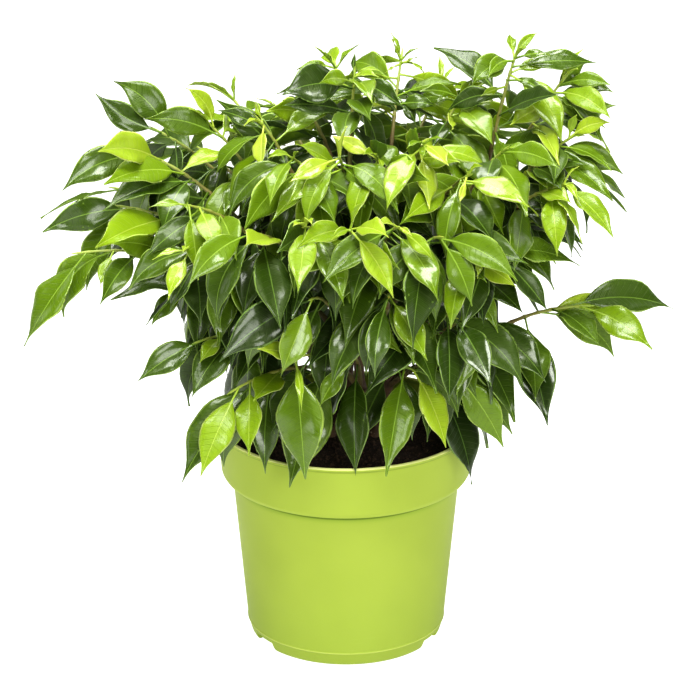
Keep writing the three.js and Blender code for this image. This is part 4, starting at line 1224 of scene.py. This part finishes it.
def leaf_finish(name, sheen, glow):
    """Glossy blade, some duller than others, with pale veins, a pale edge that is partly its own margin and
    partly a painted highlight, and a duller, paler underside.
    """
    finish, n = new_finish(name)
    place = n.place()
    on_leaf = n.add("ShaderNodeSeparateXYZ", n.carried("on_leaf", "Vector"))
    side, along, top = on_leaf.pick("X"), on_leaf.pick("Y"), on_leaf.pick("Z")
    from_rib, down = abs(n.carried("across")), n.carried("down")  # in mm
    tone = n.carried("tone")
    dull = 0.5 + 0.5 * (n.carried("phase") * 7).sin()
    rib_width = 0.55 - 0.35 * along
    rib = from_rib.between(rib_width, rib_width * 0.45)
    # The pale edge: the blade's own paler margin, lightened further as a painted highlight.
    edge = abs(side).between(0.9, 0.96) * along.between(0.0, 0.06)
    slanted = down - from_rib * 0.55 + 0.4 * n.noise(place, 160, 1)
    vein = abs((slanted / 3.1).fract() - 0.5).between(0.075, 0.0)
    fine = abs(((down - from_rib * 0.62) / 0.9).fract() - 0.5).between(0.3, 0.0)
    mottle = n.noise(place, 120, 3, 0.6)
    under = top.between(0.0, -0.12)
    grazing = n.add("ShaderNodeLayerWeight", sockets={"Blend": 0.5}).pick("Facing") ** 3
    shade = (tone + 0.16 * (mottle - 0.5) - 0.04 * along).clamped()
    face = n.ramp(
        shade,
        (0.0, (0.01, 0.023, 0.002)),
        (0.25, (0.032, 0.066, 0.002)),
        (0.5, (0.095, 0.168, 0.002)),
        (0.75, (0.205, 0.315, 0.006)),
        (1.0, (0.36, 0.44, 0.04)),
    )
    pale = n.ramp(tone, (0.0, (0.12, 0.22, 0.04)), (0.5, (0.28, 0.43, 0.05)), (1.0, (0.58, 0.66, 0.12)))
    # Colour of the edge: its own paler margin, with a painted highlight on it.
    margin_and_highlight = n.ramp(tone, (0.0, (0.22, 0.36, 0.08)), (0.5, (0.42, 0.58, 0.12)), (1.0, (0.7, 0.74, 0.25)))
    back = n.mix(0.55, face, pale)
    base = n.mix(vein * 0.08 + fine * 0.04, face, pale)
    base = n.mix(rib * 0.62, base, pale)
    base = n.mix(edge * 0.9, base, margin_and_highlight)
    base = n.mix(under, base, n.mix(rib * 0.5 + vein * 0.2, back, pale))
    relief = rib * -0.5 + vein * -0.4 + fine * -0.12
    relief = relief + 0.2 * n.noise(place, 300, 2) + 0.6 * n.noise(place, 70, 1)
    gloss(
        n,
        {
            "Base Color": base,
            "Roughness": sheen + 0.14 * (dull - 0.4) + 0.08 * mottle + 0.2 * under + 0.3 * grazing,
            "Specular IOR Level": 0.38,
            "Specular Tint": (0.75, 0.88, 0.45, 1),
            "Subsurface Weight": glow,
            "Subsurface Radius": (0.9, 1.0, 0.12),
            "Subsurface Scale": 0.0016,
            "Coat Weight": (0.8 - 0.6 * dull) * (1 - under) * (1 - grazing),
            "Coat Roughness": 0.17,
            "Normal": bump(n, relief, 0.00035),
        },
    )
    return finish


def green_wood():
    """The streaked skin of a twig, brown at its base and green at its tip."""
    finish, n = new_finish("green twig")
    place = n.place()
    green = n.carried("green")
    streaks = n.noise(place, 500, 4, 0.6)
    base = n.mix(green, (0.14, 0.08, 0.035), (0.3, 0.4, 0.05))
    base = n.mix(streaks.between(0.45, 0.7) * 0.3, base, (0.36, 0.34, 0.14))
    gloss(
        n,
        {
            "Base Color": base,
            "Roughness": 0.42 + 0.2 * streaks,
            "Subsurface Weight": 0.1,
            "Subsurface Scale": 0.001,
            "Normal": bump(n, streaks, 0.0002),
        },
    )
    return finish


leaf_rule = Rule(
    "leafy spray",
    {
        "Points round a leaf": "Int",
        "Rows of a leaf": "Int",
        "Stalk rows": "Float",
        "Stalk radius": "Float",
        "Blade thickness": "Float",
        "Rib height": "Float",
        "Camber": "Float",
        "Ripple": "Float",
        "Twig sides": "Int",
        "Leaf finish": "Material",
        "Twig finish": "Material",
    },
)
n, given = leaf_rule, leaf_rule.given


def named(key, kind="FLOAT"):
    """A measure that the points of the seed mesh carry."""
    return n.add("GeometryNodeInputNamedAttribute", key, data_type=kind)


def store(geometry, key, value, kind="FLOAT"):
    """Geometry that also carries a value at each point."""
    values = {"Geometry": geometry, "Name": key, "Value": value}
    return n.add("GeometryNodeStoreNamedAttribute", sockets=values, data_type=kind, domain="POINT")


def vector(operation, one, two):
    """Sum or product of vectors. A number as the second one scales the first."""
    key = {"Scale": two} if operation == "SCALE" else {}
    values = [one] if operation == "SCALE" else [one, two]
    return n.add("ShaderNodeVectorMath", *values, sockets=key, operation=operation)


# One blank cylinder for each leaf: s across it from -1 to 1, thick through it, and q along it from 0
# to 1, first along the stalk and then as t along the blade.
parts = n.add("GeometryNodeSeparateGeometry", given.pick("Geometry"), named("is_leaf"), domain="POINT")
blank = n.add(
    "GeometryNodeMeshCylinder",
    sockets={
        "Vertices": given.pick("Points round a leaf"),
        "Side Segments": given.pick("Rows of a leaf"),
        "Radius": 1.0,
        "Depth": 1.0,
    },
    fill_type="NGON",
)
blank = store(blank, "blank", n.add("GeometryNodeInputPosition"), "FLOAT_VECTOR")
leaves = n.add("GeometryNodeInstanceOnPoints", parts.pick("Selection"), sockets={"Instance": blank})
leaves = n.add("GeometryNodeRealizeInstances", leaves)
at_blank = n.add("ShaderNodeSeparateXYZ", named("blank", "FLOAT_VECTOR"))
s, thick, q = at_blank.pick("X"), at_blank.pick("Y"), at_blank.pick("Z") + 0.5
stalk_share = given.pick("Stalk rows")
on_stalk = (q / stalk_share).clamped()
t = ((q - stalk_share) / (1 - stalk_share)).clamped()
# The midrib is a straight stalk and then an arc that curls down, with the blade turned on it.
rise, curl, blade, petiole, half = (named(key) for key in ("rise", "curl", "blade", "petiole", "half"))
roll, fold, wave, phase = (named(key) for key in ("roll", "fold", "wave", "phase"))
roll = roll + named("twist") * t
level = named("level", "FLOAT_VECTOR")
upright = n.add("ShaderNodeCombineXYZ", 0.0, 0.0, 1.0)
turned_to = rise - curl * t
run = (rise.sin() - turned_to.sin()) / curl
fall = (turned_to.cos() - rise.cos()) / curl
flat = petiole * on_stalk * rise.cos() + blade * run
high = petiole * on_stalk * rise.sin() + blade * fall
along = vector("ADD", vector("SCALE", level, turned_to.cos()), vector("SCALE", upright, turned_to.sin()))
up = vector("SCALE", upright, turned_to.cos())
up = vector("SUBTRACT", up, vector("SCALE", level, turned_to.sin()))
over = vector("CROSS_PRODUCT", along, up)
face = vector("ADD", vector("SCALE", up, roll.cos()), vector("SCALE", over, roll.sin()))
across = vector("CROSS_PRODUCT", face, along)
# Beside the midrib the blade is folded up, cambered, waved and rippled, with the rib on its underside.
on_blade = q.between(stalk_share - 0.01, stalk_share + 0.05)
outline = n.add("ShaderNodeFloatCurve", sockets={"Value": t}, curve=OUTLINE)
stalk = given.pick("Stalk radius") * (1.25 - 0.25 * (on_stalk * 6).clamped())
width = (half * outline).at_least(stalk * (1 - t) ** 2)
rim = abs(s)
lift = rim * width * fold.sin() + width * given.pick("Camber") * 4 * rim * (1 - rim)
skew = s * wave * (9 * t + phase).sin()
ripple = given.pick("Ripple") * rim * rim * blade * (t * 17 + phase * 3 + s * 1.3).sin() * outline
rib_low = (-1 * thick).at_least(0.0) ** 6 * given.pick("Rib height") * (1 - t)
body = thick * n.mix(on_blade, stalk, given.pick("Blade thickness"), "FLOAT")
out = n.mix(on_blade, 0.0, lift + skew + ripple - rib_low, "FLOAT") + body
place = vector("ADD", named("root", "FLOAT_VECTOR"), vector("SCALE", level, flat))
place = vector("ADD", place, vector("SCALE", upright, high))
beside = s * width * n.mix(on_blade, 1.0, fold.cos(), "FLOAT") + named("sweep") * t * t
place = vector("ADD", place, vector("SCALE", across, beside))
place = vector("ADD", place, vector("SCALE", face, out))
leaves = n.add("GeometryNodeSetPosition", sockets={"Geometry": leaves, "Position": place})
leaves = store(leaves, "on_leaf", n.add("ShaderNodeCombineXYZ", s, t, thick), "FLOAT_VECTOR")
leaves = store(leaves, "across", s * width * 1000)
leaves = store(leaves, "down", t * blade * 1000)
leaves = n.covered(leaves, "Leaf finish")
stick = wood_nodes(n, parts.pick("Inverted"), given.pick("Twig sides"))
stick = n.covered(stick, "Twig finish")
joined = n.add("GeometryNodeJoinGeometry", leaves)
n.tree.links.new(stick.socket, joined.socket.node.inputs[0])
n.add("NodeGroupOutput", joined)

FINISHES = {
    "leaf_old": leaf_finish("old leaf", 0.34, 0.04),
    "leaf_mid": leaf_finish("grown leaf", 0.33, 0.09),
    "leaf_young": leaf_finish("young leaf", 0.33, 0.16),
}
twig_finish = green_wood()
TWIG_RADIUS = 1.0
TWIG_TIP_RADIUS = 0.5
BUD = [(0.0, 0.8), (1.2, 0.95), (2.6, 1.0), (4.2, 0.75), (5.6, 0.4), (6.6, 0.12)]


def twig_line(twig, roots):
    """The twig with a swelling under each leaf, and its pointed bud."""
    a, b, c = twig["base"], twig["middle"], twig["tip"]
    line = []
    for k in range(25):
        t = k / 24
        point = arc(a, b, c, t)
        knot = max((math.exp(-(((point - root).length / 1.3) ** 2)) for root in roots), default=0)
        radius = mix(TWIG_RADIUS, TWIG_TIP_RADIUS, t) + 0.28 * knot
        line.append((point, {"radius": radius * MM, "green": mix(0.0, 0.9, t)}))
    toward = (c - b).normalized()
    for reach, share in BUD[1:]:
        line.append((c + toward * reach, {"radius": share * TWIG_TIP_RADIUS * 1.15 * MM, "green": 1.0}))
    return line


def leaf_seed(leaf):
    """A leaf as one point with its measures, in metres."""
    lengths = {key: leaf[key] * MM for key in ("blade", "petiole", "half", "wave", "sweep")}
    angles = {key: leaf[key] for key in ("rise", "curl", "roll", "fold", "phase", "twist", "tone")}
    root = (leaf["root"] + POT_AXIS) * MM
    return leaf["root"], {"is_leaf": 1.0, "root": root, "level": leaf["level"], **lengths, **angles}


# More leaves between them: a few that are plain to see, smaller ones along the twigs and branches, and a
# tuft of new ones at the tip of a young twig. Each takes the first place that is clear of the rest.
# The plain ones: place on the twig, then tip, bend, breadth and tone
EXTRA = {
    "left_2": [(0.9, -118, 22, 276, 60, 1.3, 0.3)],
    "crest_5": [
        (0.97, 63, -14, 285, 70, 1.5, 0.42), (1, 79, 28, 304, 15, 0.6, 0.62),
        (1, 98, -4, 301, 35, 0.8, 0.4), (0.9, 121, 6, 292, 25, 0.8, 0.3),
        (0.75, 96, -12, 283, 50, 0.7, 0.35), (0.45, 69, 16, 261, 20, 1.3, 0.08),
        (0.3, 105, 20, 259, 25, 1.3, 0.05), (0.6, 49, 8, 272, 30, 1.2, 0.12),
    ],
    "crest_6": [
        (0.85, 128, -30, 276, 35, 0.85, 0.65), (0.7, 125, -6, 265, 35, 1, 0.55),
        (0.45, 100, -42, 257, 35, 0.7, 0.87), (0.85, 120, 20, 269, 30, 1.1, 0.1),
        (0.95, 130, 4, 281, 35, 0.9, 0.35),
    ],
    "crest_4": [
        (0.8, 73, 2, 266, 25, 1.2, 0.2), (0.55, 41, -8, 253, 25, 1.3, 0.1),
        (0.9, 35, 26, 270, 35, 1.2, 0.4),
    ],
    "back_10": [(1, -23, 62, 271, 60, 0.9, 0.6), (1, -11, 62, 285, 10, 0.7, 0.35)],
    "crest_2": [
        (1, 2, 6, 302, 10, 0.7, 0.15), (0.98, 28, -14, 280, 12, 1.3, 0.18),
        (0.82, -31, -10, 282, 40, 1.6, 0.1), (0.9, -14, -14, 292, 30, 1, 0.62),
    ],
    "crest_3": [
        (1, 21, 30, 299, 20, 0.6, 0.62), (0.95, 20, 26, 284, 30, 0.4, 0.72),
        (0.95, 35, 34, 290, 20, 0.5, 0.72), (0.6, 41, 46, 267, 30, 1.3, 0.05),
        (0.55, 35, 20, 261, 20, 1.3, 0.15), (0.45, 44, 18, 270, 25, 1.5, 0.3),
        (0.4, 5, -4, 273, 30, 1.1, 0.82),
    ],
    "crest_1": [(0.65, -38, -6, 270, 30, 1, 0.72), (0.8, -8, -4, 271, 30, 1, 0.5)],
    "top_4": [(0.9, -18, -70, 267, 25, 1.3, 0.62)],
    "top_5": [(0.95, 38, -64, 271, 15, 1.4, 0.62)],
    "skirt_2": [(0.9, -41, -98, 185, 20, 0.9, 0.87), (1, -20, -104, 157, 40, 0.4, 0.72)],
    "low_5": [(0.3, 54, -70, 191, 25, 1, 0.6)],
}
FILL_ATTEMPTS = 12
FILL_LOWEST_Z = 116
TOP_SLACK = 6
TWIG_FILL = 3
HIGH_TWIG_FILL = 5
HIGH_FROM_Z = 255
HIGH_SIZE = 46
FILL_ALONG = (0.04, 0.9)
FILL_SIZES = (0.95, 0.75)
BRANCH_FILL = 6
BRANCH_ALONG = (0.35, 0.97)
BRANCH_SIZE = 47
# Leaves on the branches are dark: partly their age, partly painted shade deep inside the crown.
BRANCH_OLD_AND_SHADED_TONE = 0.05
FILL_DROOP = math.radians(18)
HIGH_DROOP = math.radians(34)
STEEPEST = math.radians(-80)
FILL_CURL = math.radians(24)
CURL_ROOM = math.radians(95)
TO_FRONT = Vector((0, -1.2, 0.7))
FRONT_PULL = 0.9
TUFT = 2
TUFT_YOUTH = 0.4
NEAR = 60
# The small leaves leave gaps low at the front, where the stems show, and between the clusters at the
# sides. A gap at the sides is given by its range of x and of z.
FRONT_GAPS = [((-30, -100, 100), (45, -12, 186))]
SIDE_RANGES = [
    (100, 125, 125, 168), (66, 104, 108, 158), (86, 112, 180, 214), (64, 90, 172, 194),
    (112, 136, 212, 240), (-134, -112, 183, 222), (-112, -86, 160, 200), (-90, -72, 172, 204),
]
SIDE_GAPS = [((left, -70, low), (right, 40, high)) for left, right, low, high in SIDE_RANGES]
PATCH_STATIONS = (0.06, 0.3, 0.55, 0.78, 1)


def blade_patch(leaf):
    """A few faces that stand for a blade in the test of what is clear."""
    points, faces = [], []
    for t in PATCH_STATIONS:
        middle, across, face = midrib_at(leaf, t)
        half = leaf["half"] * next(
            mix(wide, after, (t - one) / (two - one))
            for (one, wide), (two, after) in zip(OUTLINE, OUTLINE[1:])
            if t <= two
        )
        reach = across * half * math.cos(leaf["fold"])
        lift = face * half * math.sin(leaf["fold"])
        points += [middle + reach + lift, middle, middle - reach + lift]
    for row in range(len(PATCH_STATIONS) - 1):
        for k in (0, 1):
            i = 3 * row + k
            faces.append((i, i + 1, i + 4, i + 3))
    return points, faces


def inside_box(points):
    """Whether points lie in the box of the solids, with a little more room at its top."""
    low, high = (Vector(corner) / MM for corner in cad_box)
    high.z += TOP_SLACK
    return all(low[k] < (p + POT_AXIS)[k] < high[k] for p in points for k in range(3))


def in_any(boxes, point):
    return any(all(low[k] < point[k] < high[k] for k in range(3)) for low, high in boxes)


class Crowd:
    """What a new leaf has to stay clear of."""

    def __init__(self):
        points, faces = [], []
        for node in frame["nodes"].values():
            start = len(points)
            points += [vert.co / MM - POT_AXIS for vert in node.data.vertices]
            faces += [[start + k for k in polygon.vertices] for polygon in node.data.polygons]
        self.solids = BVHTree.FromPolygons(points, faces)
        self.added = []

    def take(self, leaf, spares_gaps=True):
        """Whether there is room for a leaf, which may have to spare the gaps. If so, it is counted in."""
        points, faces = blade_patch(leaf)
        if min(point.z for point in points) < FILL_LOWEST_Z or not inside_box(points):
            return False
        patch = BVHTree.FromPolygons(points, faces)
        if patch.overlap(self.solids):
            return False
        middle, tip = points[7], points[-2]
        if spares_gaps and (in_any(FRONT_GAPS + SIDE_GAPS, middle) or in_any(SIDE_GAPS, tip)):
            return False
        if any((middle - other).length < NEAR and patch.overlap(tree) for other, tree in self.added):
            return False
        self.added.append((middle, patch))
        return True


def first_clear(seed, grow, spares_gaps=True):
    """The first of a few tries at a leaf that there is room for, or None."""
    for attempt in range(FILL_ATTEMPTS):
        leaf = grow(draws_from(seed + attempt * 57), attempt)
        if crowd.take(leaf, spares_gaps):
            return leaf
    return None


def extra_leaf(twig, row, seed):
    """A leaf from a place on its twig to a given tip."""
    at, *aimed = row
    line = twig["start"], twig["middle"], twig["tip"]

    def grow(draw, attempt):
        leaf = leaf_at(twig, draw, attempt, arc(*line, at), tangent(*line, at), 60, 40, aimed)
        return {**faced(leaf, TO_FRONT, FRONT_PULL, 0.5), "tone": aimed[-1]}

    return first_clear(seed, grow, spares_gaps=False)


def fill_leaf(twig, line, at, spread, size, tone, seed):
    """A leaf that hangs from a line. One high on the plant shows its face to the front."""
    high = twig["tip"].z > HIGH_FROM_Z

    def grow(draw, attempt):
        leaf = leaf_at(twig, draw, attempt, arc(*line, at), tangent(*line, at), spread, size)
        leaf["rise"] = max(leaf["rise"] - (HIGH_DROOP if high else FILL_DROOP), STEEPEST)
        leaf["curl"] = min(leaf["curl"] + FILL_CURL, leaf["rise"] + CURL_ROOM)
        if high and twig["shade"] < 1:
            front = (TO_FRONT + Vector((0.6 * leaf["level"].x, 0, 0))).normalized()
            leaf = faced(leaf, front, FRONT_PULL, 0.6)
        leaf["tone"] = within(0.0, 1.0, tone + 0.44 * (draw() - 0.54))
        return leaf

    return first_clear(seed, grow)


def tuft_leaf(twig, number):
    """A new leaf at the tip of a twig, narrow, folded and upright."""
    line = twig["base"], twig["middle"], twig["tip"]

    def grow(draw, attempt):
        size = mix(9, 18, draw())
        leaf = leaf_at(twig, draw, attempt, line[2], tangent(*line, 1), (-1, 1)[number % 2] * 50, size)
        leaf["rise"] += math.radians(mix(20, 60, draw()))
        leaf["fold"] = math.radians(mix(18, 38, draw()))
        leaf["half"] *= 0.8
        leaf["petiole"] *= 0.6
        leaf["tone"] = mix(0.55, 0.9, draw())
        return leaf

    return first_clear(90000 + twig["number"] * 401 + number * 97, grow)


def fill_leaves(twig):
    """The tuft of a twig, the small leaves along it and those on its branch."""
    seed = 40000 + twig["number"] * 613
    twig_arc = twig["start"], twig["middle"], twig["tip"]
    branch_arc = branch_bend(stem_path(twig["stem"]), twig)
    high = twig["tip"].z > HIGH_FROM_Z
    count = HIGH_TWIG_FILL if high else TWIG_FILL
    size = mix(OLD_LENGTH, YOUNG_LENGTH, twig["youth"])
    size = max(size, HIGH_SIZE) if high else size
    leaves = [tuft_leaf(twig, k) for k in range(TUFT if twig["youth"] >= TUFT_YOUTH else 0)]
    for k in range(count):
        at = mix(*FILL_ALONG, (k + 0.5) / count)
        # Fill leaves are darker low on the plant than high on it: partly age, partly painted shade.
        tone = (0.12 if high else 0.06) + 0.5 * twig["youth"] + 0.18 * at
        spread, length = (-1, 1)[k % 2] * 80, size * mix(*FILL_SIZES, at)
        leaves.append(fill_leaf(twig, twig_arc, at, spread, length, tone, seed + k * 71))
    for k in range(BRANCH_FILL):
        at = mix(*BRANCH_ALONG, (k + 0.5) / BRANCH_FILL)
        spread = (-1, 1)[k % 2] * 70
        # Branch leaves take the dark tone: their age, and painted shade inside the crown.
        leaves.append(fill_leaf(twig, branch_arc, at, spread, BRANCH_SIZE, BRANCH_OLD_AND_SHADED_TONE, seed + 500 + k * 71))
    return leaves


crowd = Crowd()
extras = {}
for twig in twigs:
    rows = EXTRA.get(twig["name"], [])
    extras[twig["name"]] = [extra_leaf(twig, row, 70000 + k * 131) for k, row in enumerate(rows)]
for twig in twigs:
    own = solid_leaves(twig)
    added = [leaf for leaf in extras[twig["name"]] + fill_leaves(twig) if leaf]
    seed = seed_of(
        "spray seed",
        [twig_line(twig, [leaf["root"] for leaf in own])],
        [leaf_seed(leaf) for leaf in own + added],
    )
    slot = "leaf_young" if twig["youth"] > 0.6 else "leaf_mid" if twig["youth"] > 0.25 else "leaf_old"
    mesh = leaf_rule.grown(
        "spray seed",
        seed,
        {
            "Points round a leaf": 12,
            "Rows of a leaf": 18,
            "Stalk rows": 3 / 18,
            "Stalk radius": 0.5 * MM,
            "Blade thickness": 0.16 * MM,
            "Rib height": 0.3 * MM,
            "Camber": 0.13,
            "Ripple": 0.02,
            "Twig sides": 8,
            "Leaf finish": FINISHES[slot],
            "Twig finish": twig_finish,
        },
    )
    piece = piece_from("foliage_" + twig["name"], mesh)
    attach(piece, "root")
    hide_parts("spray_" + twig["name"])
